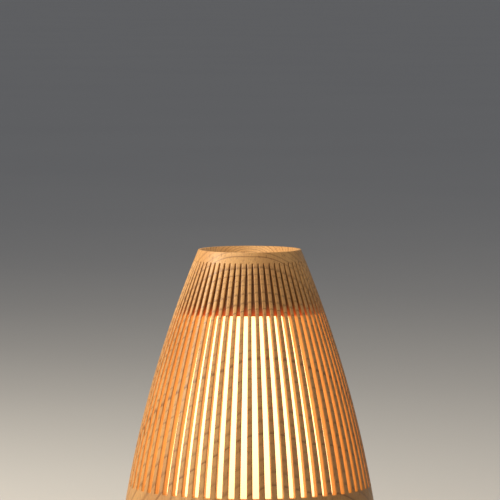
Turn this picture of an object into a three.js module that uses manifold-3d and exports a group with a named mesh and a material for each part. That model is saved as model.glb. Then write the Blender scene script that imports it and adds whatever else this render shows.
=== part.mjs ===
// Ultrasonic essential oil diffuser: a slatted wooden cover over a frosted light cover, a water tank
// with an ultrasonic disc in its floor, and a base that holds the fan, boards, buttons and socket.
// Millimetres, +Z up, origin on the table under the centre of the object, front towards -Y.
import * as THREE from "three";
import { mergeVertices } from "three/addons/utils/BufferGeometryUtils.js";
import Module from "manifold-3d";

const wasm = await Module();
wasm.setup();

// ---- driving dimensions ------------------------------------------------------------------------
const HEIGHT = 176; // rim of the cover above the table
const GAP = 0.3; // clearance between neighbouring pieces
const SPARE = 4; // how far a cutter reaches past what it cuts

// slatted cover: radius = RIM_RADIUS + FLARE * depth - FLARE_EASE * depth^2, depth measured from the rim
const RIM_RADIUS = 30.8;
const FLARE = 0.4125;
const FLARE_EASE = 0.00081;
const SLATS = 62;
const SLOT_SHARE = 0.51; // part of each pitch that is open in the through slots
const GROOVE_SHARE = 0.29; // the same at the upper end of the blind grooves
const GROOVE_DEPTH = 2.2;
const SLAT_DEPTH = 4; // radial thickness of a slat
const BAND_WALL = 5; // wall of the plain bands above and below the slats
const COVER_FOOT = 18 + GAP;
const SLOT_LOW = 34;
const SLOT_HIGH = HEIGHT - 37;
const GROOVE_HIGH = HEIGHT - 6.2;
const SLOT_STEPS = 3; // straight runs that the curved wall is divided into along a slot
const THROAT_RADIUS = 11.5; // hole at the bottom of the funnel
const THROAT_HIGH = HEIGHT - 14;
const THROAT_LOW = HEIGHT - 20;

// light cover
const LIGHT_GAP = 4; // air between the slats and the light cover
const LIGHT_WALL = 1.8;
const SPOUT_RADIUS = 9.5;
const SPOUT_TOP = HEIGHT - 10;
const LIGHT_SHOULDER = HEIGHT - 34;

// water tank
const TANK_FLOOR = 37; // underside of the floor
const TANK_FLOOR_TOP = 39.5;
const TANK_TOP = 82;
const TANK_WALL = 2.5;
const TANK_RADIUS = 49; // outside, above the flange
const FLANGE_RADIUS = 60;
const DUCT_Y = 32; // axis of the air duct, behind the centre
const DUCT_RADIUS = 9;
const DUCT_WALL = 1.7;
const DUCT_TOP = 80;

// base
const PLINTH_RADIUS = 73.5;
const PLINTH_FOOT = 3;
const SHELF = 18; // the cover stands on it
const DECK = 32.4; // the tank and the light cover stand on it
const DECK_RADIUS = 66.5;
const CASING_WALL = 2.4;
const BOTTOM_TOP = 5.5; // inner face of the bottom cover
const BOTTOM_RADIUS = 69.2;
const SCREW_CIRCLE = 65;
const FOOT_CIRCLE = 54;
const FOOT_STUB = 2.7; // radius of the stub that plugs the foot into the bottom cover
const FAN_SIZE = 40;
const FAN_LOW = 7;
const FAN_HIGH = 17;
const SOCKET_Z = 10.5; // axis of the power socket
const SOCKET_FACE = 67;
const SOCKET_DEPTH = 9;
const SOCKET_HALF = 4.7; // half of its square body
const SOCKET_HOLE = 4.8; // radius of its hole in the wall
const SOCKET_BORE = 3.2;
const SOCKET_PIN = 1.05;
const RIB = [61.6, 62.8]; // radii of the rib between the tank's flange and the light cover
const SEAL_GROOVE = [55, 57.4]; // radii of the groove in the deck

// screws: radii of head, shank, the hole it turns in and the boss round it
const BASE_SCREW = { head: 2.9, shank: 1.2, hole: 1.5, boss: 3.2, clearance: 1.8, counterbore: 3.3 };
const CLAMP_SCREW = { head: 2.2, shank: 0.9, hole: 1.2, boss: 2.6, clearance: 1.3 };

// buttons
const BUTTON_X = 11;
const BUTTON_Z = 10.5;
const BUTTON_RADIUS = 3.8;
const BUTTON_FACE = -73.4;
const BUTTON_FLANGE = 4.6;

// facets round a full turn
const LARGE = 36;
const MEDIUM = 18;
const SMALL = 10;
const TINY = 8;

const QUARTERS = [0, 1, 2, 3].map((i) => Math.PI / 4 + (i * Math.PI) / 2);
const THIRDS = [0, 1, 2].map((i) => -Math.PI / 2 + (i * 2 * Math.PI) / 3);

// ---- finishes ----------------------------------------------------------------------------------
const finish = (color, roughness, metalness = 0) =>
  new THREE.MeshStandardMaterial({ color, roughness, metalness });
const WOOD = () => finish(0xc8955c, 0.55);
const FROSTED = () => finish(0xfff2d2, 0.5);
const WHITE_PLASTIC = () => finish(0xece8df, 0.45);
const CLEAR_TANK = () => finish(0xe6e9e6, 0.3);
const DARK_PLASTIC = () => finish(0x26262a, 0.5);
const RUBBER = () => finish(0x3a3a3c, 0.85);
const SILICONE = () => finish(0xd8d4cc, 0.7);
const BOARD_GREEN = () => finish(0x1f5a38, 0.5);
const STEEL = () => finish(0xb4b6b8, 0.35, 1);
const ALUMINIUM = () => finish(0xa8abad, 0.4, 1);
const BRASS = () => finish(0xc9a24a, 0.35, 1);
const LED_RESIN = () => finish(0xf4e6b4, 0.3);

// ---- geometry helpers --------------------------------------------------------------------------
const object = new THREE.Group();

// A closed three.js geometry as a manifold solid.
function solid(geometry) {
  const bare = geometry.clone();
  bare.deleteAttribute("normal");
  bare.deleteAttribute("uv");
  const merged = mergeVertices(bare, 1e-4);
  return new wasm.Manifold(
    new wasm.Mesh({
      numProp: 3,
      vertProperties: merged.attributes.position.array,
      triVerts: new Uint32Array(merged.index.array),
    }),
  );
}

function geometryOf(shape) {
  const mesh = shape.getMesh();
  const geometry = new THREE.BufferGeometry();
  geometry.setAttribute("position", new THREE.BufferAttribute(mesh.vertProperties, 3));
  geometry.setIndex(new THREE.BufferAttribute(mesh.triVerts, 1));
  geometry.computeVertexNormals();
  return geometry;
}

// Adds one named piece. The shape is a geometry or a manifold solid.
function piece(name, shape, material, place = [0, 0, 0]) {
  const mesh = new THREE.Mesh(shape.isBufferGeometry ? shape : geometryOf(shape), material);
  mesh.name = name;
  mesh.position.set(...place);
  object.add(mesh);
  return mesh;
}

// Turns an [r, z] profile, listed anticlockwise, round the Z axis. A ring repeats its first point.
function turned(profile, segments, start = 0) {
  const points = profile.map(([r, z]) => new THREE.Vector2(r, z));
  return new THREE.LatheGeometry(points, segments, start).rotateX(Math.PI / 2);
}

const ring = (profile, segments, start) => turned([...profile, profile[0]], segments, start);

function cylinder(radius, low, high, segments = SMALL) {
  const height = high - low;
  return new THREE.CylinderGeometry(radius, radius, height, segments)
    .rotateX(Math.PI / 2)
    .translate(0, 0, low + height / 2);
}

// Cylinder along Y, from y = near to y = far, centred on x = 0, z = 0.
function rod(radius, near, far, segments = SMALL) {
  return new THREE.CylinderGeometry(radius, radius, far - near, segments).translate(0, (near + far) / 2, 0);
}

// Box given by its two extreme corners.
function block([x0, y0, z0], [x1, y1, z1]) {
  return new THREE.BoxGeometry(x1 - x0, y1 - y0, z1 - z0).translate((x0 + x1) / 2, (y0 + y1) / 2, (z0 + z1) / 2);
}

// Flat plate of the given outline, with holes, between two heights.
function plate(outline, holes, low, high, curveSegments = 12) {
  const shape = new THREE.Shape(outline.getPoints(curveSegments));
  shape.holes = holes.map((hole) => new THREE.Path(hole.getPoints(curveSegments)));
  return new THREE.ExtrudeGeometry(shape, { depth: high - low, bevelEnabled: false }).translate(0, 0, low);
}

const circlePath = (x, y, radius) => new THREE.Path().absarc(x, y, radius, 0, 2 * Math.PI);

function slotPath(x, y, length, width) {
  const reach = (length - width) / 2;
  const path = new THREE.Path();
  path.absarc(x + reach, y, width / 2, -Math.PI / 2, Math.PI / 2);
  path.absarc(x - reach, y, width / 2, Math.PI / 2, (3 * Math.PI) / 2);
  path.closePath();
  return path;
}

const polar = (radius, angle) => [radius * Math.cos(angle), radius * Math.sin(angle)];
const joinAll = (solids) => solids.reduce((whole, next) => whole.add(next));
const cutAll = (body, cutters) => cutters.reduce((rest, cutter) => rest.subtract(cutter), body);
const steps = (from, to, count) => Array.from({ length: count + 1 }, (_, i) => from + ((to - from) * i) / count);

// ---- slatted cover -----------------------------------------------------------------------------
function coverRadius(z) {
  const depth = HEIGHT - z;
  return RIM_RADIUS + FLARE * depth - FLARE_EASE * depth * depth;
}

// The cover is turned with one flat per slat, so its corners fall in the slots.
const HALF_PITCH = Math.PI / SLATS;
const flatToCorner = ([r, z]) => [r / Math.cos(HALF_PITCH), z];

// A cutter whose [r, z] outline is as wide, tangentially, as widthAt says for each height.
function slotCutter(outline, widthAt) {
  const shape = new THREE.Shape(outline.map(([r, z]) => new THREE.Vector2(r, z)));
  const geometry = new THREE.ExtrudeGeometry(shape, { depth: 1, bevelEnabled: false }).translate(0, 0, -0.5);
  geometry.rotateX(Math.PI / 2);
  const position = geometry.attributes.position;
  for (let i = 0; i < position.count; i += 1) {
    position.setY(i, Math.sign(position.getY(i)) * (widthAt(position.getZ(i)) / 2));
  }
  return solid(geometry);
}

function slattedCover() {
  const along = steps(SLOT_LOW, SLOT_HIGH, SLOT_STEPS);
  const outside = [COVER_FOOT, ...along, GROOVE_HIGH, HEIGHT - 1].map((z) => [coverRadius(z), z]);
  const lipAndFunnel = [
    [RIM_RADIUS - 0.4, HEIGHT],
    [RIM_RADIUS - 1.4, HEIGHT],
    [RIM_RADIUS - 2.2, HEIGHT - 0.7],
    [20, HEIGHT - 7.5],
    [THROAT_RADIUS, THROAT_HIGH],
    [THROAT_RADIUS, THROAT_LOW],
  ];
  const ceiling = [coverRadius(HEIGHT - 27) - BAND_WALL, HEIGHT - 27];
  const inside = [...along].reverse().map((z) => [coverRadius(z) - SLAT_DEPTH, z]);
  const foot = [coverRadius(COVER_FOOT) - BAND_WALL, COVER_FOOT];
  const profile = [...outside, ...lipAndFunnel, ceiling, ...inside, foot].map(flatToCorner);
  const body = solid(ring(profile, SLATS, HALF_PITCH));

  const pitchAt = (z) => (2 * Math.PI * coverRadius(z)) / SLATS;
  const slotWidth = (z) => SLOT_SHARE * pitchAt(z);
  const topShare = (z) => (z - SLOT_HIGH) / (GROOVE_HIGH - SLOT_HIGH);
  const grooveWidth = (z) => (SLOT_SHARE + (GROOVE_SHARE - SLOT_SHARE) * topShare(z)) * pitchAt(z);
  const grooveLow = SLOT_HIGH - 0.5;
  const slot = slotCutter(
    [
      [coverRadius(SLOT_LOW) - SLAT_DEPTH - SPARE, SLOT_LOW],
      [coverRadius(SLOT_LOW) + SPARE, SLOT_LOW],
      [coverRadius(SLOT_HIGH) + SPARE, SLOT_HIGH],
      [coverRadius(SLOT_HIGH) - SLAT_DEPTH - SPARE, SLOT_HIGH],
    ],
    slotWidth,
  );
  const groove = slotCutter(
    [
      [coverRadius(grooveLow) - GROOVE_DEPTH, grooveLow],
      [coverRadius(grooveLow) + SPARE, grooveLow],
      [coverRadius(GROOVE_HIGH) + SPARE, GROOVE_HIGH],
      [coverRadius(GROOVE_HIGH) - GROOVE_DEPTH, GROOVE_HIGH],
    ],
    grooveWidth,
  );
  const cutters = [];
  for (let i = 0; i < SLATS; i += 1) {
    const turn = 360 * ((i + 0.5) / SLATS) - 90;
    cutters.push(slot.rotate([0, 0, turn]), groove.rotate([0, 0, turn]));
  }
  piece("slatted_cover", cutAll(body, cutters), WOOD());
}

// ---- light cover -------------------------------------------------------------------------------
function lightCover() {
  const low = DECK + GAP;
  const lightRadius = (z) => coverRadius(z) - SLAT_DEPTH - LIGHT_GAP;
  const along = steps(low, LIGHT_SHOULDER, 3);
  const outside = along.map((z) => [lightRadius(z), z]);
  const dome = [
    [30, LIGHT_SHOULDER + 4],
    [SPOUT_RADIUS + 2, LIGHT_SHOULDER + 9.5],
    [SPOUT_RADIUS, LIGHT_SHOULDER + 11],
    [SPOUT_RADIUS, SPOUT_TOP - 0.5],
    [SPOUT_RADIUS - 0.5, SPOUT_TOP],
    [SPOUT_RADIUS - LIGHT_WALL + 0.2, SPOUT_TOP],
  ];
  const bore = SPOUT_RADIUS - LIGHT_WALL;
  const insideDome = [
    [bore, LIGHT_SHOULDER + 9],
    [30 - LIGHT_WALL / 2, LIGHT_SHOULDER + 4 - LIGHT_WALL],
  ];
  const inside = [...along].reverse().map((z) => [lightRadius(z) - LIGHT_WALL, z === LIGHT_SHOULDER ? z - 1 : z]);
  piece("light_cover", ring([...outside, ...dome, ...insideDome, ...inside], LARGE), FROSTED());
}

// ---- water tank and ultrasonic disc ------------------------------------------------------------
const SEAL_RADIUS = 10.7;
const CLAMP_SCREW_CIRCLE = 13.5;

function waterTank() {
  const skirtInside = TANK_RADIUS - TANK_WALL;
  const flangeLow = DECK + GAP;
  const flangeHigh = flangeLow + 2.5;
  const bowl = solid(
    ring(
      [
        [SEAL_RADIUS + GAP, TANK_FLOOR],
        [skirtInside, TANK_FLOOR],
        [skirtInside, flangeLow],
        [FLANGE_RADIUS, flangeLow],
        [FLANGE_RADIUS, flangeHigh],
        [TANK_RADIUS, flangeHigh],
        [TANK_RADIUS, TANK_TOP - 2],
        [TANK_RADIUS + 0.8, TANK_TOP - 1.5],
        [TANK_RADIUS + 0.8, TANK_TOP],
        [skirtInside, TANK_TOP],
        [skirtInside, TANK_FLOOR_TOP + 3],
        [skirtInside - 2.5, TANK_FLOOR_TOP + 0.5],
        [SEAL_RADIUS + GAP, TANK_FLOOR_TOP],
      ],
      LARGE,
    ),
  );
  const duct = solid(cylinder(DUCT_RADIUS, TANK_FLOOR, DUCT_TOP, MEDIUM).translate(0, DUCT_Y, 0));
  const bore = solid(cylinder(DUCT_RADIUS - DUCT_WALL, TANK_FLOOR - 1, DUCT_TOP + 1, MEDIUM).translate(0, DUCT_Y, 0));
  const bosses = THIRDS.map((angle) => {
    const [x, y] = polar(CLAMP_SCREW_CIRCLE, angle);
    return solid(cylinder(CLAMP_SCREW.boss, TANK_FLOOR - 1.6, TANK_FLOOR + 0.5).translate(x, y, 0));
  });
  const screwHoles = THIRDS.map((angle) => {
    const [x, y] = polar(CLAMP_SCREW_CIRCLE, angle);
    return solid(cylinder(CLAMP_SCREW.hole, TANK_FLOOR - 2, TANK_FLOOR + 1.7, TINY).translate(x, y, 0));
  });
  piece("water_tank", cutAll(joinAll([bowl, duct, ...bosses]), [bore, ...screwHoles]), CLEAR_TANK());
}

// Hood that sheds water over the top of the air duct; air leaves through its three windows.
function ductCap() {
  const inside = DUCT_RADIUS + GAP;
  const outside = inside + 1.5;
  const low = DUCT_TOP - 4;
  const roof = DUCT_TOP + 9;
  const hood = solid(
    turned(
      [
        [0, roof - 1.6],
        [inside, roof - 3.2],
        [inside, low],
        [outside, low],
        [outside, roof - 2],
        [outside - 3, roof - 0.4],
        [0, roof + 0.6],
      ],
      MEDIUM,
    ),
  );
  const windows = THIRDS.map((angle) =>
    solid(block([6, -3.2, DUCT_TOP + 0.8], [14, 3.2, DUCT_TOP + 4.4]).rotateZ(angle)),
  );
  piece("duct_cap", cutAll(hood, windows), WHITE_PLASTIC(), [0, DUCT_Y, 0]);
}

function ultrasonicDisc() {
  const low = TANK_FLOOR - 1.6;
  const high = TANK_FLOOR_TOP - 0.5;
  const lip = 6.8;
  const grooveRadius = 8.4;
  piece(
    "transducer_seal",
    ring(
      [
        [SEAL_RADIUS, low],
        [SEAL_RADIUS, high],
        [lip, high],
        [lip, high - 0.8],
        [grooveRadius, high - 0.8],
        [grooveRadius, low + 0.7],
        [lip, low + 0.7],
        [lip, low],
      ],
      MEDIUM,
    ),
    SILICONE(),
  );
  piece("transducer_disc", cylinder(grooveRadius - GAP, low + 0.7 + GAP, high - 0.8 - GAP, MEDIUM), BRASS());

  const clampHigh = low - GAP;
  const clampLow = clampHigh - 1.7;
  const holes = THIRDS.map((angle) => circlePath(...polar(CLAMP_SCREW_CIRCLE, angle), CLAMP_SCREW.clearance));
  const clamp = plate(circlePath(0, 0, 16.5), [circlePath(0, 0, 6.5), ...holes], clampLow, clampHigh, 8);
  piece("transducer_clamp", clamp, WHITE_PLASTIC());
  THIRDS.forEach((angle, i) => {
    const [x, y] = polar(CLAMP_SCREW_CIRCLE, angle);
    const shape = screw(CLAMP_SCREW, clampLow - 1.3, clampLow - GAP, TANK_FLOOR + 1.4);
    piece(`clamp_screw_${i + 1}`, shape, STEEL(), [x, y, 0]);
  });
}

// Pan-head screw pointing up: head between headLow and headHigh, shank up to the tip.
function screw({ head, shank }, headLow, headHigh, tip) {
  const profile = [
    [0, headLow],
    [head - 0.4, headLow],
    [head, headLow + 0.4],
    [head, headHigh],
    [shank, headHigh],
    [shank, tip - 0.6],
    [0, tip],
  ];
  return turned(profile, TINY);
}

// ---- base --------------------------------------------------------------------------------------
function baseCasing() {
  const wallInside = PLINTH_RADIUS - 2.5;
  const deckWall = DECK_RADIUS - 2.2;
  const shelfUnder = SHELF - 2.5;
  const deckUnder = DECK - CASING_WALL;
  const deckEdge = TANK_RADIUS + 1.5;
  const ribHigh = DECK + 3;
  const shell = solid(
    ring(
      [
        [PLINTH_RADIUS - 1.5, PLINTH_FOOT],
        [PLINTH_RADIUS, PLINTH_FOOT + 4],
        [PLINTH_RADIUS, SHELF - 0.6],
        [PLINTH_RADIUS - 0.6, SHELF],
        [DECK_RADIUS + 0.3, SHELF],
        [DECK_RADIUS, DECK],
        [RIB[1], DECK],
        [RIB[1], ribHigh],
        [RIB[0], ribHigh],
        [RIB[0] - 0.2, DECK],
        [SEAL_GROOVE[1], DECK],
        [SEAL_GROOVE[1], DECK - 1.2],
        [SEAL_GROOVE[0], DECK - 1.2],
        [SEAL_GROOVE[0], DECK],
        [deckEdge, DECK],
        [deckEdge, deckUnder],
        [deckWall, deckUnder],
        [deckWall, shelfUnder],
        [wallInside, shelfUnder],
        [wallInside, PLINTH_FOOT + 4],
        [BOTTOM_RADIUS + 0.5, PLINTH_FOOT],
      ],
      LARGE,
    ),
  );
  const bosses = QUARTERS.map((angle) => {
    const [x, y] = polar(SCREW_CIRCLE, angle);
    return solid(cylinder(BASE_SCREW.boss, BOTTOM_TOP + GAP, SHELF - 2, TINY).translate(x, y, 0));
  });
  const screwHoles = QUARTERS.map((angle) => {
    const [x, y] = polar(SCREW_CIRCLE, angle);
    return solid(cylinder(BASE_SCREW.hole, BOTTOM_TOP - 1, SHELF - SPARE, TINY).translate(x, y, 0));
  });
  const [near, far] = [wallInside - SPARE, PLINTH_RADIUS + SPARE];
  const buttonHoles = [-1, 1].map((side) =>
    solid(rod(BUTTON_RADIUS + GAP, -far, -near, MEDIUM).translate(side * BUTTON_X, 0, BUTTON_Z)),
  );
  const socketHole = solid(rod(SOCKET_HOLE, near, far, MEDIUM).translate(0, 0, SOCKET_Z));
  const cutters = [...screwHoles, ...buttonHoles, socketHole];
  piece("base_casing", cutAll(joinAll([shell, ...bosses]), cutters), WHITE_PLASTIC());
  const seal = ring(
    [
      [SEAL_GROOVE[1] - GAP, DECK - 0.9],
      [SEAL_GROOVE[1] - GAP, DECK],
      [SEAL_GROOVE[0] + GAP, DECK],
      [SEAL_GROOVE[0] + GAP, DECK - 0.9],
    ],
    LARGE,
  );
  piece("tank_seal", seal, SILICONE());
}

const BOARD = { left: -32, right: 32, front: -50, back: -12, low: 10, high: 11.6 };
const BOARD_PEGS = [
  [BOARD.left + 4, BOARD.front + 4],
  [BOARD.right - 4, BOARD.front + 4],
  [BOARD.left + 4, BOARD.back - 4],
  [BOARD.right - 4, BOARD.back - 4],
];

function bottomCover() {
  const vents = steps(DUCT_Y - 15, DUCT_Y + 15, 5).map((y) => slotPath(0, y, 32, 3));
  const footHoles = QUARTERS.map((angle) => circlePath(...polar(FOOT_CIRCLE, angle), FOOT_STUB + GAP));
  const screwHoles = QUARTERS.map((angle) => circlePath(...polar(SCREW_CIRCLE, angle), BASE_SCREW.clearance));
  const outline = circlePath(0, 0, BOTTOM_RADIUS);
  const disc = new THREE.Shape(outline.getPoints(LARGE));
  disc.holes = [...vents, ...footHoles, ...screwHoles].map((hole) => new THREE.Path(hole.getPoints(4)));
  const sheet = new THREE.ExtrudeGeometry(disc, { depth: BOTTOM_TOP - PLINTH_FOOT, bevelEnabled: false });
  const counterbores = QUARTERS.map((angle) => {
    const [x, y] = polar(SCREW_CIRCLE, angle);
    return solid(cylinder(BASE_SCREW.counterbore, PLINTH_FOOT - 1, PLINTH_FOOT + 1.5, TINY).translate(x, y, 0));
  });
  const pegs = BOARD_PEGS.map(([x, y]) =>
    solid(cylinder(2.5, BOTTOM_TOP - 0.5, BOARD.low - GAP, TINY).translate(x, y, 0)).add(
      solid(cylinder(1.1, BOARD.low - 1, BOARD.high + 1, TINY).translate(x, y, 0)),
    ),
  );
  const fanCorner = FAN_SIZE / 2 - 3;
  const fanPads = [-1, 1].flatMap((sx) =>
    [-1, 1].map((sy) =>
      solid(cylinder(2.4, BOTTOM_TOP - 0.5, FAN_LOW - GAP, TINY)).translate(sx * fanCorner, DUCT_Y + sy * fanCorner, 0),
    ),
  );
  const body = joinAll([solid(sheet.translate(0, 0, PLINTH_FOOT)), ...pegs, ...fanPads]);
  piece("bottom_cover", cutAll(body, counterbores), WHITE_PLASTIC());

  QUARTERS.forEach((angle, i) => {
    const [sx, sy] = polar(SCREW_CIRCLE, angle);
    const shape = screw(BASE_SCREW, PLINTH_FOOT + 0.1, PLINTH_FOOT + 1.2, SHELF - 5);
    piece(`base_screw_${i + 1}`, shape, STEEL(), [sx, sy, 0]);
    const [fx, fy] = polar(FOOT_CIRCLE, angle);
    piece(`foot_${i + 1}`, rubberFoot(), RUBBER(), [fx, fy, 0]);
  });
}

// Rubber foot with a stub that plugs into the bottom cover.
function rubberFoot() {
  const top = PLINTH_FOOT - GAP;
  return turned(
    [
      [0, 0],
      [6.4, 0],
      [7, 0.6],
      [6.8, top],
      [FOOT_STUB, top],
      [FOOT_STUB, BOTTOM_TOP - GAP],
      [0, BOTTOM_TOP - GAP],
    ],
    SMALL,
  );
}

// ---- fan and air path --------------------------------------------------------------------------
function fan() {
  const half = FAN_SIZE / 2;
  const bore = half - 1;
  const corner = 3;
  const outline = new THREE.Path();
  outline.absarc(half - corner, half - corner, corner, 0, Math.PI / 2);
  outline.absarc(corner - half, half - corner, corner, Math.PI / 2, Math.PI);
  outline.absarc(corner - half, corner - half, corner, Math.PI, 1.5 * Math.PI);
  outline.absarc(half - corner, corner - half, corner, 1.5 * Math.PI, 2 * Math.PI);
  const shape = new THREE.Shape(outline.getPoints(3));
  shape.holes = [new THREE.Path(circlePath(0, 0, bore).getPoints(32))];
  const frame = new THREE.ExtrudeGeometry(shape, { depth: FAN_HIGH - FAN_LOW, bevelEnabled: false });
  const motorPlate = solid(cylinder(10.5, FAN_LOW, FAN_LOW + 1.2, MEDIUM));
  const struts = THIRDS.map((angle) => solid(block([9, -1, FAN_LOW], [bore + 0.5, 1, FAN_LOW + 1.2]).rotateZ(angle)));
  const body = joinAll([solid(frame.translate(0, 0, FAN_LOW)), motorPlate, ...struts]);
  piece("fan_frame", body, DARK_PLASTIC(), [0, DUCT_Y, 0]);

  const hubLow = FAN_LOW + 1.6;
  const hubHigh = FAN_HIGH - 0.8;
  const bladePitch = Math.PI / 5;
  const blades = Array.from({ length: 7 }, (_, i) =>
    solid(
      new THREE.BoxGeometry(9.2, 9, 1.1)
        .rotateX(bladePitch)
        .translate(13.4, 0, (hubLow + hubHigh) / 2)
        .rotateZ((i * 2 * Math.PI) / 7),
    ),
  );
  piece("fan_rotor", joinAll([solid(cylinder(10, hubLow, hubHigh, 21)), ...blades]), DARK_PLASTIC(), [0, DUCT_Y, 0]);

  const wall = 1.6;
  const low = FAN_HIGH + GAP;
  const high = TANK_FLOOR - GAP;
  const neck = 8.8;
  const funnel = ring(
    [
      [half - 0.5, low],
      [half - 0.5, low + 2],
      [half - 1.5, low + 2],
      [neck + wall, low + 12],
      [neck + wall, high],
      [neck, high],
      [neck, low + 12],
      [half - 1.5 - wall, low + 1.5],
      [half - 1.5 - wall, low],
    ],
    MEDIUM,
  );
  piece("air_funnel", funnel, WHITE_PLASTIC(), [0, DUCT_Y, 0]);
}

// ---- electronics -------------------------------------------------------------------------------
function controlBoard() {
  const outline = new THREE.Path([
    new THREE.Vector2(BOARD.left, BOARD.front + 10),
    new THREE.Vector2(BOARD.left + 10, BOARD.front),
    new THREE.Vector2(BOARD.right - 10, BOARD.front),
    new THREE.Vector2(BOARD.right, BOARD.front + 10),
    new THREE.Vector2(BOARD.right, BOARD.back),
    new THREE.Vector2(BOARD.left, BOARD.back),
  ]);
  const holes = BOARD_PEGS.slice(2).map(([x, y]) => circlePath(x, y, 1.5));
  const notches = BOARD_PEGS.slice(0, 2).map(([x, y]) =>
    solid(cylinder(3, BOARD.low - 1, BOARD.high + 1).translate(x, y, 0)),
  );
  const sheet = solid(plate(outline, holes, BOARD.low, BOARD.high, 4));
  piece("control_board", cutAll(sheet, notches), BOARD_GREEN());

  const top = BOARD.high + GAP;
  piece(
    "resonance_coil",
    ring(
      [
        [3, top],
        [7, top],
        [7, top + 1.4],
        [5.8, top + 2.2],
        [5.8, top + 7],
        [7, top + 7.8],
        [7, top + 9],
        [3, top + 9],
      ],
      MEDIUM,
    ),
    DARK_PLASTIC(),
    [-20, -28, 0],
  );
  piece("filter_capacitor", cylinder(5, top, top + 12, MEDIUM), finish(0x2b3a5c, 0.4), [21, -30, 0]);
  piece("control_chip", block([-5, -3.5, top], [5, 3.5, top + 1.6]), DARK_PLASTIC(), [0, -19, 0]);
  const fins = [-8, -4, 0, 4, 8].map((x) => solid(block([x - 0.6, -6, top], [x + 0.6, 5, top + 14])));
  const web = solid(block([-8.6, 4, top], [8.6, 6, top + 14]));
  piece("heat_sink", joinAll([web, ...fins]), ALUMINIUM(), [0, -40, 0]);
  piece("driver_transistor", block([-5, -2.2, top + 2], [5, 2.2, top + 13]), DARK_PLASTIC(), [0, -31.2, 0]);
}

const LEDS = 8;

function lightRing() {
  const low = DECK + 2.5 + 2 * GAP;
  const high = low + 1.6;
  const inner = TANK_RADIUS + 1.5;
  const ledCircle = (inner + FLANGE_RADIUS) / 2;
  const board = ring(
    [
      [inner, low],
      [FLANGE_RADIUS, low],
      [FLANGE_RADIUS, high],
      [inner, high],
    ],
    LARGE,
  );
  piece("light_board", board, finish(0xf0f0ec, 0.5));
  for (let i = 0; i < LEDS; i += 1) {
    const led = piece(`led_${i + 1}`, block([-2.5, -2.5, 0], [2.5, 2.5, 1.6]), LED_RESIN());
    const angle = ((i + 0.5) * 2 * Math.PI) / LEDS;
    led.position.set(...polar(ledCircle, angle), high + GAP);
    led.rotation.z = angle;
  }
}

function powerSocket() {
  const back = SOCKET_FACE - SOCKET_DEPTH;
  const [low, high] = [SOCKET_Z - SOCKET_HALF, SOCKET_Z + SOCKET_HALF];
  const body = solid(block([-SOCKET_HALF, back, low], [SOCKET_HALF, SOCKET_FACE, high]));
  const bore = solid(rod(SOCKET_BORE, back + 1.5, SOCKET_FACE + 1, MEDIUM).translate(0, 0, SOCKET_Z));
  const pin = solid(rod(SOCKET_PIN, back + 0.5, SOCKET_FACE - 0.8, TINY).translate(0, 0, SOCKET_Z));
  piece("power_socket", body.subtract(bore).add(pin), DARK_PLASTIC());
}

// ---- buttons and their switches ----------------------------------------------------------------
function buttons() {
  const flangeFront = -68.2;
  const flangeBack = flangeFront + 1.2;
  const stemEnd = flangeBack + 0.8;
  const plunger = stemEnd + 1.1;
  const switchFront = plunger + 0.6;
  const switchBack = switchFront + 3.5;
  const boardFront = switchBack + GAP;
  const names = ["mist", "light"];
  names.forEach((name, i) => {
    const side = i === 0 ? -1 : 1;
    const at = [side * BUTTON_X, 0, BUTTON_Z];
    const button = joinAll([
      solid(rod(BUTTON_RADIUS, BUTTON_FACE, flangeFront + 0.5, MEDIUM)),
      solid(rod(BUTTON_FLANGE, flangeFront, flangeBack, MEDIUM)),
      solid(rod(1.5, flangeBack - 0.5, stemEnd, TINY)),
    ]);
    piece(`${name}_button`, button, WHITE_PLASTIC(), at);
    const housing = solid(block([-3, switchFront, -3], [3, switchBack, 3]));
    const knob = solid(rod(1.7, plunger, switchFront + 0.5, TINY));
    piece(`${name}_switch`, housing.add(knob), DARK_PLASTIC(), at);
  });
  piece("button_board", block([-20, boardFront, 5.9], [20, boardFront + 1.6, 15.1]), BOARD_GREEN());
}

// ---- the whole diffuser ------------------------------------------------------------------------
slattedCover();
lightCover();
waterTank();
ductCap();
ultrasonicDisc();
baseCasing();
bottomCover();
fan();
controlBoard();
lightRing();
powerSocket();
buttons();

export default object;
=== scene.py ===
"""Looks of the essential oil diffuser: a turned, slatted wooden cover lit from inside, over a frosted light
cover, a milky water tank and a satin plinth base. Lengths are written in millimetres and made metres once,
where the points of a surface are handed to Blender."""
import math

import bmesh
import bpy
import numpy as np
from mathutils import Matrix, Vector


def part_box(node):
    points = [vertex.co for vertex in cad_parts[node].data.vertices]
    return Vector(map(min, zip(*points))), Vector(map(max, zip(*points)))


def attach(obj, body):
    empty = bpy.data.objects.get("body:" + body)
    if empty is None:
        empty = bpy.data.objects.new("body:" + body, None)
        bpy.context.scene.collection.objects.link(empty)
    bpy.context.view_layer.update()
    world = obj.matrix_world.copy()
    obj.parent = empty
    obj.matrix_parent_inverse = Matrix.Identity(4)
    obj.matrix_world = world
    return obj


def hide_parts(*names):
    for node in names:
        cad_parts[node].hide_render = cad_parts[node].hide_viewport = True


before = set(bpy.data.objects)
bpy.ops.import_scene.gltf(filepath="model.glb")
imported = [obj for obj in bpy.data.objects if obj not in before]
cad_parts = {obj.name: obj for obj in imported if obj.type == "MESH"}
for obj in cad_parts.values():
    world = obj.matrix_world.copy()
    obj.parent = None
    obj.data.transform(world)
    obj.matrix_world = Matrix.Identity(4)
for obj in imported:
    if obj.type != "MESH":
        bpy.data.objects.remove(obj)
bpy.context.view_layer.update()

MM = 0.001
TAU = 2 * math.pi
SHARP = math.radians(32)  # edges that turn by more than this stay crisp
PATCH_WELD = 0.002 * MM  # points of neighbouring patches closer than this are one point
CUT_WELD = 0.003 * MM  # the same, where a cutter leaves slivers


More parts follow.
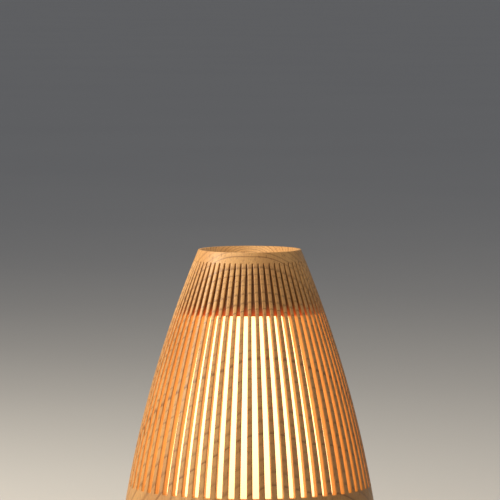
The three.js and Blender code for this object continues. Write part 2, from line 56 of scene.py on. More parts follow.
def box_mm(node):
    """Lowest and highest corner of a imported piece, in millimetres."""
    low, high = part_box(node)
    return np.array(low) / MM, np.array(high) / MM


# ---- driving dimensions, in millimetres ----------------------------------------------------------
cover_low, cover_high = box_mm("slatted_cover")
RIM_HEIGHT = cover_high[2]
COVER_FOOT = cover_low[2]
SLATS = 62
PITCH = TAU / SLATS
RIM_RADIUS = 30.8
FLARE = 0.4125
FLARE_EASE = 0.00081
SLOT_SHARE = 0.51
GROOVE_SHARE = 0.29
GROOVE_DEPTH = 2.2
SLAT_DEPTH = 4.0
BAND_WALL = 5.0
SLOT_LOW = 34.0
SLOT_HIGH = RIM_HEIGHT - 37
GROOVE_HIGH = RIM_HEIGHT - 6.2
THROAT_RADIUS = 11.5
SHELF = 18.0
DECK = 32.4
GAP = 0.3
LIGHT_GAP = 4.0
LIGHT_WALL = 1.8
LIGHT_FOOT = DECK + GAP
LIGHT_SHOULDER = RIM_HEIGHT - 34
SPOUT_RADIUS = 9.5
SPOUT_BORE = 7.7
SPOUT_TOP = RIM_HEIGHT - 10


# ---- surfaces ------------------------------------------------------------------------------------
def quads(rows, columns, copies=1):
    """Corner numbers of the quads between neighbouring points of grids that follow one another."""
    index = np.arange(copies * rows * columns).reshape(copies, rows, columns)
    corners = [index[:, :-1, :-1], index[:, :-1, 1:], index[:, 1:, 1:], index[:, 1:, :-1]]
    return np.stack(corners, -1).reshape(-1, 4)


def welded(name, patches):
    """One closed mesh from patches, each an array (copies, rows, columns, 3) of points in millimetres.
    Edges that meet are merged, so a quad with two equal corners becomes a triangle, and faces are turned
    outwards."""
    points, faces, start = [], [], 0
    for patch in patches:
        copies, rows, columns = patch.shape[:3]
        points.append(patch.reshape(-1, 3))
        faces.append(quads(rows, columns, copies) + start)
        start += copies * rows * columns
    mesh = bpy.data.meshes.new(name)
    mesh.from_pydata(np.concatenate(points) * MM, [], np.concatenate(faces))
    shell = bmesh.new()
    shell.from_mesh(mesh)
    bmesh.ops.remove_doubles(shell, verts=shell.verts, dist=PATCH_WELD)
    bmesh.ops.recalc_face_normals(shell, faces=shell.faces)
    shell.to_mesh(mesh)
    shell.free()
    return finished(name, mesh)


def smooth(mesh):
    """Smooth shading, but for the sharp edges."""
    mesh.polygons.foreach_set("use_smooth", np.ones(len(mesh.polygons), bool))
    mesh.set_sharp_from_angle(angle=SHARP)


def placed_object(name, data):
    """A mesh, lamp or camera put in the scene."""
    made = bpy.data.objects.new(name, data)
    bpy.context.scene.collection.objects.link(made)
    return made


def finished(name, mesh):
    smooth(mesh)
    return placed_object(name, mesh)


def spun(r, angle, z):
    """Points at radius r, angle round the Z axis and height z, broadcast together."""
    r, angle, z = np.broadcast_arrays(r, angle, z)
    return np.stack([r * np.cos(angle), r * np.sin(angle), z], -1)


def rounded(corners, arc=4):
    """A profile through corners (r, z, fillet): each corner is replaced by an arc of its fillet radius,
    which touches both sides. The arc's centre lies on the bisector, fillet / sin(half angle) away."""
    flat = np.array([c[:2] for c in corners], float)
    out = []
    for i, (r, z, fillet) in enumerate(corners):
        here = flat[i]
        if not fillet:
            out.append(here)
            continue
        back = flat[i - 1] - here
        ahead = flat[(i + 1) % len(flat)] - here
        back /= np.linalg.norm(back)
        ahead /= np.linalg.norm(ahead)
        half = math.acos(np.clip(back @ ahead, -1, 1)) / 2
        bisector = (back + ahead) / np.linalg.norm(back + ahead)
        centre = here + bisector * fillet / math.sin(half)
        touch = fillet / math.tan(half)
        first, last = here + back * touch - centre, here + ahead * touch - centre
        sweep = math.pi - 2 * half
        for t in np.linspace(0, 1, arc + 1):
            blend = (math.sin((1 - t) * sweep) * first + math.sin(t * sweep) * last) / math.sin(sweep)
            out.append(centre + blend)
    return np.array(out)


def turned(name, profile, segments=96, centre=(0, 0), closed=True):
    """A profile of (r, z) points carried once round the vertical axis through centre. A closed profile
    makes a ring; an open one starts and ends on the axis."""
    profile = np.asarray(profile, float)
    if closed:
        profile = np.concatenate([profile, profile[:1]])
    angle = np.linspace(0, TAU, segments + 1)
    points = spun(profile[:, :1], angle[None], profile[:, 1:])
    points[:, -1] = points[:, 0]
    points += np.array([*centre, 0.0])
    return welded(name, [points[None]])


def boxed(name, low, high, bevel=0.3):
    """A block between two corners with its edges rounded off by a chamfer of two steps."""
    low, high = np.array(low, float), np.array(high, float)
    mesh = bpy.data.meshes.new(name)
    shell = bmesh.new()
    bmesh.ops.create_cube(shell, size=1)
    for vertex in shell.verts:
        vertex.co = Vector(((low + high) / 2 + np.array(vertex.co) * (high - low)) * MM)
    bmesh.ops.bevel(shell, geom=shell.edges[:], offset=bevel * MM, segments=2, affect="EDGES", profile=0.5)
    shell.to_mesh(mesh)
    shell.free()
    return finished(name, mesh)


def sideways(radius, near, far, x, z, segments=48):
    """A bar along Y, as a cutter: a circle of the radius carried from y = near to y = far."""
    angle = np.linspace(0, TAU, segments + 1)
    rings = []
    for r, y in ((0, near), (radius, near), (radius, far), (0, far)):
        rings.append(np.stack([x + r * np.sin(angle), np.full(angle.shape, y), z + r * np.cos(angle)], -1))
    return welded("cutter", [np.array(rings)[None]])


def slab(upper, under):
    """Patches of a slab between two sheets of points: both sheets, and the walls along their edges."""
    patches = [upper[None], under[None]]
    for edge in ((0, slice(None)), (-1, slice(None)), (slice(None), 0), (slice(None), -1)):
        patches.append(np.stack([upper[edge], under[edge]])[None])
    return patches


def cut(piece, cutters, join=False):
    """Takes the cutters out of the piece, or joins them to it, and drops them."""
    for cutter in cutters:
        step = piece.modifiers.new("cut", "BOOLEAN")
        step.operation = "UNION" if join else "DIFFERENCE"
        step.solver = "EXACT"
        step.object = cutter
    shaped = bpy.data.meshes.new_from_object(piece.evaluated_get(bpy.context.evaluated_depsgraph_get()))
    piece.modifiers.clear()
    old, name = piece.data, piece.data.name
    piece.data = shaped
    bpy.data.meshes.remove(old)
    shaped.name = name
    seams = bmesh.new()
    seams.from_mesh(shaped)
    bmesh.ops.remove_doubles(seams, verts=seams.verts, dist=CUT_WELD)
    bmesh.ops.dissolve_degenerate(seams, edges=seams.edges, dist=CUT_WELD)
    seams.to_mesh(shaped)
    seams.free()
    smooth(shaped)
    for cutter in cutters:
        bpy.data.meshes.remove(cutter.data)
    return piece


# ---- the slatted cover ---------------------------------------------------------------------------
def cover_radius(z):
    """Outside of the cover: it widens by FLARE below the rim and eases off with the depth's square."""
    depth = RIM_HEIGHT - z
    return RIM_RADIUS + FLARE * depth - FLARE_EASE * depth * depth


EDGE_ROUND = 0.5  # rounding of a slat's front edges
BACK_CHAMFER = 0.3
RUN_OUT = 8.0  # length over which a groove rises to the surface at its upper end
RUN_OUT_SHARE = 0.4  # how much of its width a groove keeps where it ends
ARC = np.radians([0, 30, 60, 90])
ACROSS = np.array([-1, -0.97, -0.9, -0.75, -0.4, 0, 0.4, 0.75, 0.9, 0.97, 1])  # points across a slat
GAP_POINTS = 4  # points across a gap, both sides counted
PITCH_POINTS = len(ACROSS) + GAP_POINTS


def slot_half_width(z):
    """Half of the gap between two slats: a share of the pitch that narrows along the grooves, and more
    where they run out, with the square root of the way that is left."""
    rise = np.clip((z - SLOT_HIGH) / (GROOVE_HIGH - SLOT_HIGH), 0, 1)
    share = SLOT_SHARE + (GROOVE_SHARE - SLOT_SHARE) * rise
    left = np.clip((GROOVE_HIGH - z) / RUN_OUT, 0, 1)
    share = share * (RUN_OUT_SHARE + (1 - RUN_OUT_SHARE) * np.sqrt(left))
    return share * PITCH * cover_radius(z) / 2


def edge_angle(r, z):
    """Angle from a slat's middle to its side, at radius r: the gap's sides are parallel, so the slat is
    a wedge, and the angle is half a pitch less the angle that half the gap takes up at r."""
    return PITCH / 2 - np.arcsin(slot_half_width(z) / r)


def groove_depth(z):
    """Depth of the blind groove: a quarter of an ellipse that runs out at the upper end."""
    t = np.clip((GROOVE_HIGH - z) / RUN_OUT, 0, 1)
    return GROOVE_DEPTH * np.sqrt(1 - (1 - t) ** 2)


def front_row(z, edge):
    """Radius and angle of the points across a slat's front at height z: flat on the turned surface
    in the middle, with quarter circles of radius edge down to both sides."""
    outer = cover_radius(z)
    half = outer * edge_angle(outer, z)
    middle = np.array([-0.55, 0, 0.55]) * (half - edge)
    across = half - edge + edge * np.sin(ARC)
    depth = edge - edge * np.cos(ARC)
    right = edge_angle(outer - depth, z) - (half - across) / outer
    angle = np.concatenate([-right[::-1], middle / outer, right])
    radius = np.concatenate([outer - depth[::-1], np.full(3, outer), outer - depth])
    return radius, angle


def gap_row(r, z):
    """Angles across the gap from one slat's side to the next one's, at radius r."""
    side = edge_angle(r, z)
    return np.linspace(side, PITCH - side, GAP_POINTS)


def pitch_row(r, z):
    """Angles across one pitch at radius r: first the slat, then the gap beside it."""
    return np.concatenate([ACROSS * edge_angle(r, z), gap_row(r, z)])


def cover_patches():
    """The cover as patches for one pitch, each carried round once a slat: the turned crown with its blind
    grooves, the slats as closed tubes, the ceilings and sills of the slots, and the turned foot."""
    top_outer, high_outer, low_outer = (cover_radius(z) for z in (GROOVE_HIGH, SLOT_HIGH, SLOT_LOW))
    high_back, low_back = high_outer - SLAT_DEPTH, low_outer - SLAT_DEPTH
    crown = []
    low_part = np.linspace(SLOT_HIGH, GROOVE_HIGH - RUN_OUT, 6)[:-1]
    run_out = GROOVE_HIGH - RUN_OUT * (1 - np.sin(np.linspace(0, math.pi / 2, 9)))
    for z in np.concatenate([low_part, run_out]):
        depth = groove_depth(z)
        radius, angle = front_row(z, min(EDGE_ROUND, depth * 0.6))
        floor = cover_radius(z) - depth
        radius = np.concatenate([radius, np.full(GAP_POINTS, floor)])
        angle = np.concatenate([angle, gap_row(floor, z)])
        crown.append((radius, angle, z))

    # from the top of the grooves over the rim, down the funnel and up under it: one turned profile
    lip = rounded(
        [
            (top_outer, GROOVE_HIGH, 0), (cover_radius(RIM_HEIGHT - 3), RIM_HEIGHT - 3, 0),
            (RIM_RADIUS, RIM_HEIGHT, 0.3), (RIM_RADIUS - 1.5, RIM_HEIGHT, 0.6),
            (24.0, RIM_HEIGHT - 4.2, 0), (18.0, RIM_HEIGHT - 8.6, 0),
            (THROAT_RADIUS, RIM_HEIGHT - 14, 1.2), (THROAT_RADIUS, RIM_HEIGHT - 20, 0.5),
            (cover_radius(RIM_HEIGHT - 27) - BAND_WALL, RIM_HEIGHT - 27, 2.0),
            (high_back, SLOT_HIGH, 0),
        ]
    )[1:]
    top_angle, low_angle = pitch_row(top_outer, GROOVE_HIGH), pitch_row(high_back, SLOT_HIGH)
    for i, (r, z) in enumerate(lip):
        share = np.clip((i + 6 - len(lip)) / 5, 0, 1)
        crown.append((np.full(PITCH_POINTS, r), top_angle + (low_angle - top_angle) * share, z))

    ceiling = [(high_outer - GROOVE_DEPTH, SLOT_HIGH), (high_back, SLOT_HIGH)]
    sill = [(low_outer - depth, SLOT_LOW) for depth in (0, GROOVE_DEPTH, SLAT_DEPTH)]

    slats = []
    levels = np.sort(np.append(np.linspace(0, 1, 17), [0.008, 0.02, 0.98]))
    for z in SLOT_LOW + (SLOT_HIGH - SLOT_LOW) * levels:
        from_end = min(z - SLOT_LOW, SLOT_HIGH - z)
        edge = EDGE_ROUND * min(1, (z - SLOT_LOW) / 2) ** 0.5
        chamfer = BACK_CHAMFER * min(1, from_end / 2)
        outer, back = cover_radius(z), cover_radius(z) - SLAT_DEPTH
        radius, angle = front_row(z, edge)
        side = np.array([outer - GROOVE_DEPTH, back + chamfer])
        side_angle = edge_angle(side, z)
        back_angle = ACROSS * (edge_angle(back, z) - chamfer / back)
        loop_radius = np.concatenate([radius, side, np.full(len(ACROSS), back), side[::-1], radius[:1]])
        loop_angle = np.concatenate([angle, side_angle, back_angle[::-1], -side_angle[::-1], angle[:1]])
        slats.append((loop_radius, loop_angle, z))

    foot_profile = rounded(
        [
            (low_outer, SLOT_LOW, 0), (cover_radius(SLOT_LOW - 5), SLOT_LOW - 5, 0),
            (cover_radius(SLOT_LOW - 10), SLOT_LOW - 10, 0),
            (cover_radius(COVER_FOOT), COVER_FOOT, 1.0),
            (cover_radius(COVER_FOOT) - BAND_WALL, COVER_FOOT, 0.6), (low_back, SLOT_LOW, 0),
        ]
    )
    foot = []
    radius, angle = front_row(SLOT_LOW, 0)
    angle = np.concatenate([angle, gap_row(low_outer, SLOT_LOW)])
    foot.append((np.full(PITCH_POINTS, radius[0]), angle, SLOT_LOW))
    spread, spread_back = pitch_row(low_outer, SLOT_LOW), pitch_row(low_back, SLOT_LOW)
    for i, (r, z) in enumerate(foot_profile[1:], 1):
        share = i / (len(foot_profile) - 1)
        foot.append((np.full(PITCH_POINTS, r), spread + (spread_back - spread) * share, z))

    turns = -math.pi / 2 + PITCH * np.arange(SLATS)

    def carried(rows, closes):
        """Rows of one pitch carried round; rows that close go on to the first point of the next pitch."""
        radius = np.array([row[0] for row in rows])
        angle = np.array([row[1] for row in rows])
        if closes:
            radius = np.concatenate([radius, radius[:, :1]], 1)
            angle = np.concatenate([angle, angle[:, :1] + PITCH], 1)
        height = np.array([row[2] for row in rows])[:, None]
        return spun(radius[None], angle[None] + turns[:, None, None], height[None])

    def level(rows):
        return carried([(np.full(GAP_POINTS, r), gap_row(r, z), z) for r, z in rows], False)

    return [carried(crown, True), carried(slats, False), level(ceiling), level(sill), carried(foot, True)]


# ---- shader building -----------------------------------------------------------------------------
def feed(node, inputs=None, **named):
    """Links the node's inputs, or gives them a value; in a name, an underscore stands for a space."""
    for key, value in {**(inputs or {}), **named}.items():
        target = node.inputs[key.replace("_", " ") if isinstance(key, str) else key]
        if isinstance(value, bpy.types.NodeSocket):
            node.id_data.links.new(value, target)
        else:
            target.default_value = value
    return node


def add(tree, kind, inputs=None, **settings):
    """A shader node of a kind, with its settings and its named or numbered inputs."""
    node = tree.nodes.new("ShaderNode" + kind)
    for key, value in settings.items():
        setattr(node, key, value)
    return feed(node, inputs)


def maths(tree, operation, first, second=0.0, third=0.0):
    return add(tree, "Math", {0: first, 1: second, 2: third}, operation=operation).outputs[0]


def ramp(tree, value, low, high, to_low=0.0, to_high=1.0):
    """A value carried smoothly from one range to another, and held outside it."""
    inputs = {"Value": value, "From Min": low, "From Max": high, "To Min": to_low, "To Max": to_high}
    return add(tree, "MapRange", inputs, interpolation_type="SMOOTHSTEP").outputs[0]


def product(tree, *factors):
    """The factors multiplied one after another."""
    result = factors[0]
    for factor in factors[1:]:
        result = maths(tree, "MULTIPLY", result, factor)
    return result


def mixed(tree, share, first, second):
    """Two colours, each (red, green, blue) or a socket, mixed by a share of the second."""
    inputs = {"Factor": share, 6: opaque(first), 7: opaque(second)}
    return add(tree, "Mix", inputs, data_type="RGBA").outputs[2]


def opaque(colour):
    return colour if isinstance(colour, bpy.types.NodeSocket) else (*colour, 1)


def noise(tree, vector, scale, detail=3.0, roughness=0.5):
    inputs = {"Vector": vector, "Scale": scale, "Detail": detail, "Roughness": roughness}
    return add(tree, "TexNoise", inputs).outputs["Fac"]


def placed(tree, vector, turn=(0, 0, 0), scale=(1, 1, 1)):
    inputs = {"Vector": vector, "Rotation": turn, "Scale": scale}
    return add(tree, "Mapping", inputs).outputs[0]


def effect(name, outputs, **inputs):
    """A shader node group with the point to shade as its first input, the inputs given with their usual
    value, and outputs that are all numbers. Returns it with its two ends."""
    group = bpy.data.node_groups.new(name, "ShaderNodeTree")
    group.interface.new_socket("Vector", in_out="INPUT", socket_type=VECTOR)
    for label, value in inputs.items():
        kind = VECTOR if isinstance(value, tuple) else NUMBER
        socket = group.interface.new_socket(label.replace("_", " "), in_out="INPUT", socket_type=kind)
        socket.default_value = value
    for label in outputs:
        group.interface.new_socket(label, in_out="OUTPUT", socket_type=NUMBER)
    return group, group.nodes.new("NodeGroupInput").outputs, group.nodes.new("NodeGroupOutput")


VECTOR, NUMBER = "NodeSocketVector", "NodeSocketFloat"


def turned_grain():
    """Growth rings round an upright pith that stands behind the cover's axis. The distance from the
    pith, bent a little by slow noise, is counted in ring widths; the last part of each ring is the dark
    late wood, stronger in some rings than in others. Fine upright fibres and short pores lie over it."""
    outputs = ("Late Wood", "Tone", "Fibre", "Pores")
    group, given, out = effect("turned_grain", outputs, Ring_Width=0.00135, Pith=(0.0, 0.0, 0.0))
    here = add(group, "VectorMath", {0: given["Vector"], 1: given["Pith"]}, operation="SUBTRACT")
    leaning = placed(group, here.outputs[0], turn=(0.035, -0.03, 0))
    slow = placed(group, leaning, scale=(1, 1, 0.3))
    drift = add(group, "TexNoise", {"Vector": slow, "Scale": 20.0, "Detail": 1.5})
    bend = add(
        group,
        "VectorMath",
        {0: drift.outputs["Color"], 1: (0.0045, 0.0045, 0), 2: leaning},
        operation="MULTIPLY_ADD",
    )
    parts = add(group, "SeparateXYZ", {0: bend.outputs[0]})
    across = add(group, "CombineXYZ", {0: parts.outputs[0], 1: parts.outputs[1]})
    reach = add(group, "VectorMath", {0: across.outputs[0]}, operation="LENGTH").outputs["Value"]
    count = maths(group, "DIVIDE", reach, given["Ring Width"])
    unevenness = add(
        group, "TexNoise", {"W": count, "Scale": 0.45, "Detail": 1.0}, noise_dimensions="1D"
    ).outputs["Fac"]
    count = maths(group, "MULTIPLY_ADD", unevenness, 1.1, count)
    part = maths(group, "FRACT", count)
    ring = maths(group, "FLOOR", count)
    strength = add(group, "TexWhiteNoise", {"W": ring}, noise_dimensions="1D").outputs["Value"]
    rise = ramp(group, part, 0.5, 0.9)
    fall = ramp(group, part, 0.93, 1.0, 1.0, 0.0)
    uneven = ramp(group, strength, 0.0, 1.0, 0.35, 1.0)
    late = product(group, maths(group, "POWER", rise, 3.0), fall, uneven)
    tone = noise(group, placed(group, leaning, scale=(1, 1, 0.25)), 45.0, 3.0)
    fibre = noise(group, placed(group, leaning, scale=(1, 1, 0.04)), 1500.0, 2.0, 0.6)
    flecks = noise(group, placed(group, leaning, (0.0, 0.25, 0.0), (1, 1, 0.22)), 1100.0, 2.0, 0.6)
    feed(out, Late_Wood=late, Tone=tone, Fibre=fibre, Pores=ramp(group, flecks, 0.56, 0.7))
    return group


def moulded_skin():
    """The fine skin of moulded plastic or rubber: a small even grain, and a slow change of shade."""
    group, given, out = effect("moulded_skin", ("Grain", "Cloud"), Grain=2500.0, Cloud=30.0)
    grain = noise(group, given["Vector"], given["Grain"], 2.0)
    feed(out, Grain=grain, Cloud=noise(group, given["Vector"], given["Cloud"], 3.0))
    return group


def handling_dust():
    """Dust that settles on what looks up, broken up by noise: the normal's height times the noise."""
    group, given, out = effect("handling_dust", ("Dust",), Amount=0.3)
    normal = add(group, "NewGeometry").outputs["Normal"]
    up = add(group, "SeparateXYZ", {0: normal}).outputs[2]
    broken = noise(group, given["Vector"], 160.0, 4.0)
    feed(out, Dust=product(group, ramp(group, up, 0.2, 1.0), broken, given["Amount"]))
    return group


GRAIN = turned_grain()
SKIN = moulded_skin()
DUST = handling_dust()


def material(name, **settings):
    """A new material with a Principled shader, whose plain settings are given, and Object coordinates."""
    made = bpy.data.materials.new(name)
    made.use_nodes = True
    tree = made.node_tree
    shader = tree.nodes["Principled BSDF"]
    feed(shader, settings)
    return made, tree, shader, add(tree, "TexCoord").outputs["Object"]


def bumped(tree, shader, height, distance, strength=1.0):
    """Gives the shader a relief: distance is the height of the relief in metres."""
    bump = add(tree, "Bump", {"Height": height, "Distance": distance, "Strength": strength})
    feed(shader, Normal=bump.outputs[0])


def use(tree, group, **inputs):
    """A shader node group at work in a material."""
    return feed(add(tree, "Group", node_tree=group), inputs).outputs


RING_WIDTH = 0.00155  # metres
PITH = (-0.003, 0.012, 0)
PALE, MIDDLE, FIBRE = (0.68, 0.375, 0.132), (0.56, 0.275, 0.086), (0.36, 0.15, 0.045)
LATE, PORE = (0.19, 0.066, 0.015), (0.13, 0.045, 0.01)
# painted shade: a dark brown laid into the grooves, and a brown that darkens the cover below the tops of
# the slots
GROOVE_SHADE, LOWER_SHADE = (0.15, 0.042, 0.006), (0.2, 0.085, 0.02)
# painted light: orange emission of the wood itself, in place of the lamplight in the thin groove floors and
# on the slats' sides
GROOVE_GLOW, SIDE_GLOW, NO_GLOW = (0.46, 0.045, 0.003), (0.33, 0.12, 0.015), (0, 0, 0)
GLOW_REACH = 10.0  # how far above the slots the glow of the grooves dies away
LOWER_SHADE_REACH = 14.0  # how far below the tops of the slots the painted shade grows to its full strength


def oiled_wood():
    """Pale oiled wood: brown in its late wood, darkened in its grooves by painted shade and a little below
    the tops of its slots by painted shade. The orange of the lamplight in the thin floors of the grooves is
    painted light, an emission that dies away upwards from the slots, and a weaker one lies on the sides of
    the slats."""
    made, tree, shader, here = material("oiled_wood", Roughness=0.5, Coat_Weight=0.12, Coat_Roughness=0.35)
    grain = use(tree, GRAIN, Vector=here, Ring_Width=RING_WIDTH, Pith=PITH)
    late, fibre, pores = grain["Late Wood"], grain["Fibre"], grain["Pores"]
    base = mixed(tree, ramp(tree, grain["Tone"], 0.3, 0.7), PALE, MIDDLE)
    base = mixed(tree, ramp(tree, fibre, 0.42, 0.75, 0.0, 0.35), base, FIBRE)
    base = mixed(tree, maths(tree, "MULTIPLY", late, 0.78), base, LATE)
    base = mixed(tree, maths(tree, "MULTIPLY", pores, 0.42), base, PORE)
    feed(shader, Roughness=ramp(tree, late, 0, 1, 0.52, 0.4))
    relief = maths(tree, "MULTIPLY_ADD", late, 0.6, maths(tree, "MULTIPLY", fibre, 0.5))
    bumped(tree, shader, maths(tree, "SUBTRACT", relief, pores), 0.00008, 0.7)

    # how far a point lies inside the turned outside, which is cover_radius in metres
    parts = add(tree, "SeparateXYZ", {0: here}).outputs
    height = parts[2]
    depth = maths(tree, "SUBTRACT", RIM_HEIGHT * MM, height)
    eased = product(tree, depth, depth, -FLARE_EASE / MM)
    outside = maths(tree, "ADD", maths(tree, "MULTIPLY_ADD", depth, FLARE, RIM_RADIUS * MM), eased)
    flat = add(tree, "CombineXYZ", {0: parts[0], 1: parts[1]})
    radius = add(tree, "VectorMath", {0: flat.outputs[0]}, operation="LENGTH").outputs["Value"]
    inwards = maths(tree, "SUBTRACT", outside, radius)

    # masks along the height: over the slots, under the tops of the grooves, near the tops of the slots
    over = ramp(tree, height, (SLOT_HIGH - 1) * MM, SLOT_HIGH * MM)
    topped = ramp(tree, height, (GROOVE_HIGH - 1) * MM, (GROOVE_HIGH + 1) * MM, 1.0, 0.0)
    near = ramp(tree, height, SLOT_HIGH * MM, (SLOT_HIGH + GLOW_REACH) * MM, 1.0, 0.0)
    # painted shade: the wood is darkened below the tops of the slots, at full strength further down
    beside = ramp(tree, height, (SLOT_HIGH - LOWER_SHADE_REACH) * MM, SLOT_HIGH * MM, 0.24, 0.0)
    # painted shade: the wood deeper than 0.3 mm into the grooves, between the slots and the grooves' tops,
    # is darkened
    groove_shade = product(tree, ramp(tree, inwards, 0.0003, 0.0019), over, topped, 0.72)
    base = mixed(tree, beside, mixed(tree, groove_shade, base, GROOVE_SHADE), LOWER_SHADE)
    feed(shader, Base_Color=base)
    # painted light: the groove floors and the slats' sides emit the lamp's orange light themselves
    thin = ramp(tree, inwards, 0.0006, GROOVE_DEPTH * MM)
    glow = product(tree, thin, over, maths(tree, "POWER", near, 2.6))
    lamp_side = maths(tree, "SUBTRACT", ramp(tree, inwards, 0.0001, 0.0014), over)
    warm = mixed(tree, glow, mixed(tree, lamp_side, NO_GLOW, SIDE_GLOW), GROOVE_GLOW)
    feed(shader, Emission_Color=warm, Emission_Strength=1.0)
    return made


def lit_cover():
    """Frosted plastic lit from below: it glows evenly up its wall, and dimmer towards the spout."""
    made, tree, shader, here = material("lit_cover", Roughness=0.42, Subsurface_Weight=0.2)
    skin = use(tree, SKIN, Vector=here, Grain=1800.0, Cloud=18.0)
    base = mixed(tree, skin["Cloud"], (0.86, 0.8, 0.68), (0.8, 0.73, 0.6))
    feed(shader, Base_Color=base)
    height = add(tree, "SeparateXYZ", {0: here}).outputs[2]
    up = ramp(tree, height, (LIGHT_SHOULDER - 8) * MM, (LIGHT_SHOULDER + 10) * MM, 1.0, 0.04)
    low = ramp(tree, height, DECK * MM, (DECK + 45) * MM, 0.72, 1.0)
    even = ramp(tree, skin["Cloud"], 0.3, 0.7, 0.93, 1.0)
    warm = mixed(tree, product(tree, up, low, even), NO_GLOW, (1.0, 0.58, 0.28))
    feed(shader, Emission_Color=warm, Emission_Strength=2.8)
    bumped(tree, shader, skin["Grain"], 0.00003, 0.4)
    return made


def moulded(name, shade, roughness, dust=0.12, grain=2400.0, relief=0.00003, **settings):
    """Moulded plastic, rubber or silicone: a fine skin, a slow change of shade and a trace of dust."""
    made, tree, shader, here = material(name, **settings)
    skin = use(tree, SKIN, Vector=here, Grain=grain, Cloud=22.0)
    settled = use(tree, DUST, Vector=here, Amount=dust)
    base = mixed(tree, ramp(tree, skin["Cloud"], 0.3, 0.7), shade, [c * 0.86 for c in shade])
    base = mixed(tree, settled["Dust"], base, (0.5, 0.47, 0.43))
    feed(shader, Base_Color=base)
    rough = ramp(tree, skin["Cloud"], 0.25, 0.75, roughness - 0.05, roughness + 0.06)
    feed(shader, Roughness=maths(tree, "MULTIPLY_ADD", settled["Dust"], 0.3, rough))
    bumped(tree, shader, skin["Grain"], relief, 0.6)
    return made


def metal(name, shade, roughness, brushed=(60, 60, 900)):
    """Plain metal: fine drawn lines along one direction, and a slow change of polish."""
    made, tree, shader, here = material(name, Metallic=1.0)
    lines = noise(tree, placed(tree, here, scale=brushed), 3.0, 3.0)
    base = mixed(tree, ramp(tree, lines, 0.35, 0.7), shade, [c * 0.8 for c in shade])
    rough = ramp(tree, noise(tree, here, 90.0, 3.0), 0.3, 0.7, roughness - 0.08, roughness + 0.1)
    feed(shader, Base_Color=base, Roughness=rough)
    bumped(tree, shader, lines, 0.00002, 0.5)
    return made


def lamp_resin():
    """The yellow resin of a lit lamp, a little uneven in its shade and its light."""
    made, tree, shader, here = material("lamp_resin", Roughness=0.25)
    speck = noise(tree, here, 1400.0, 2.0)
    base = mixed(tree, speck, (0.92, 0.72, 0.28), (0.85, 0.6, 0.18))
    feed(shader, Base_Color=base)
    glow = mixed(tree, speck, (1.0, 0.7, 0.36), (1.0, 0.6, 0.26))
    feed(shader, Emission_Color=glow, Emission_Strength=3.0)
    return made


WOOD = oiled_wood()
FROSTED = lit_cover()
SATIN = moulded("satin_casing", (0.74, 0.7, 0.62), 0.42)
CLEAR = {"Subsurface_Weight": 0.25, "Transmission_Weight": 0.25}
MILKY = moulded("milky_tank", (0.76, 0.78, 0.76), 0.24, 0.05, **CLEAR)
BUTTON = moulded("button_plastic", (0.6, 0.56, 0.5), 0.34)
BLACK = moulded("black_plastic", (0.022, 0.022, 0.025), 0.45)
RUBBER = moulded("foot_rubber", (0.035, 0.034, 0.034), 0.78, grain=1500.0, relief=0.00008)
SILICONE = moulded("silicone", (0.62, 0.6, 0.56), 0.6, 0.06)
GREEN = moulded("green_board", (0.015, 0.1, 0.045), 0.35, 0.08, grain=900.0)
WHITE_BOARD = moulded("white_board", (0.8, 0.8, 0.76), 0.4, 0.05, grain=900.0)
SLEEVE = moulded("capacitor_sleeve", (0.03, 0.05, 0.13), 0.3)
STEEL = metal("screw_steel", (0.55, 0.55, 0.56), 0.3)
ALUMINIUM = metal("sink_aluminium", (0.62, 0.63, 0.65), 0.42)
DISC_METAL = metal("disc_metal", (0.75, 0.56, 0.25), 0.28, (700, 60, 60))
RESIN = lamp_resin()


def dress(piece, finish):
    """Gives a piece one material in place of what it had."""
    piece.data.materials.clear()
    piece.data.materials.append(finish)


def settle(piece, node, finish, body="base"):
    """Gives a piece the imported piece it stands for, its finish and the body it rides on."""
    dress(piece, finish)
    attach(piece, body)
    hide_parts(node)


# ---- wooden cover and light cover ----------------------------------------------------------------
settle(welded("turned_cover", cover_patches()), "slatted_cover", WOOD, "wooden_cover")


def light_radius(z):
    return cover_radius(z) - SLAT_DEPTH - LIGHT_GAP


def frosted_shell():
    """The light cover: a wall along the wooden cover, a rounded shoulder, a shallow dome and a spout."""
    outside = [(light_radius(z), z, 0) for z in np.linspace(LIGHT_FOOT, LIGHT_SHOULDER - 5, 12)]
    outside.append((light_radius(LIGHT_SHOULDER), LIGHT_SHOULDER, 4.5))
    dome = [
        (30, LIGHT_SHOULDER + 4, 4.0), (SPOUT_RADIUS + 1.2, LIGHT_SHOULDER + 9.8, 1.6),
        (SPOUT_RADIUS, SPOUT_TOP, 0.6), (SPOUT_BORE, SPOUT_TOP, 0.6),
        (SPOUT_BORE, LIGHT_SHOULDER + 8.6, 1.5), (29, LIGHT_SHOULDER + 2.4, 3.0),
    ]
    inside = [(light_radius(LIGHT_SHOULDER - 1) - LIGHT_WALL, LIGHT_SHOULDER - 1, 3.0)]
    for z in np.linspace(LIGHT_SHOULDER - 6, LIGHT_FOOT, 12):
        inside.append((light_radius(z) - LIGHT_WALL, z, 0))
    return turned("frosted_shell", rounded(outside + dome + inside, 6), 192)


settle(frosted_shell(), "light_cover", FROSTED, "inner_cover")


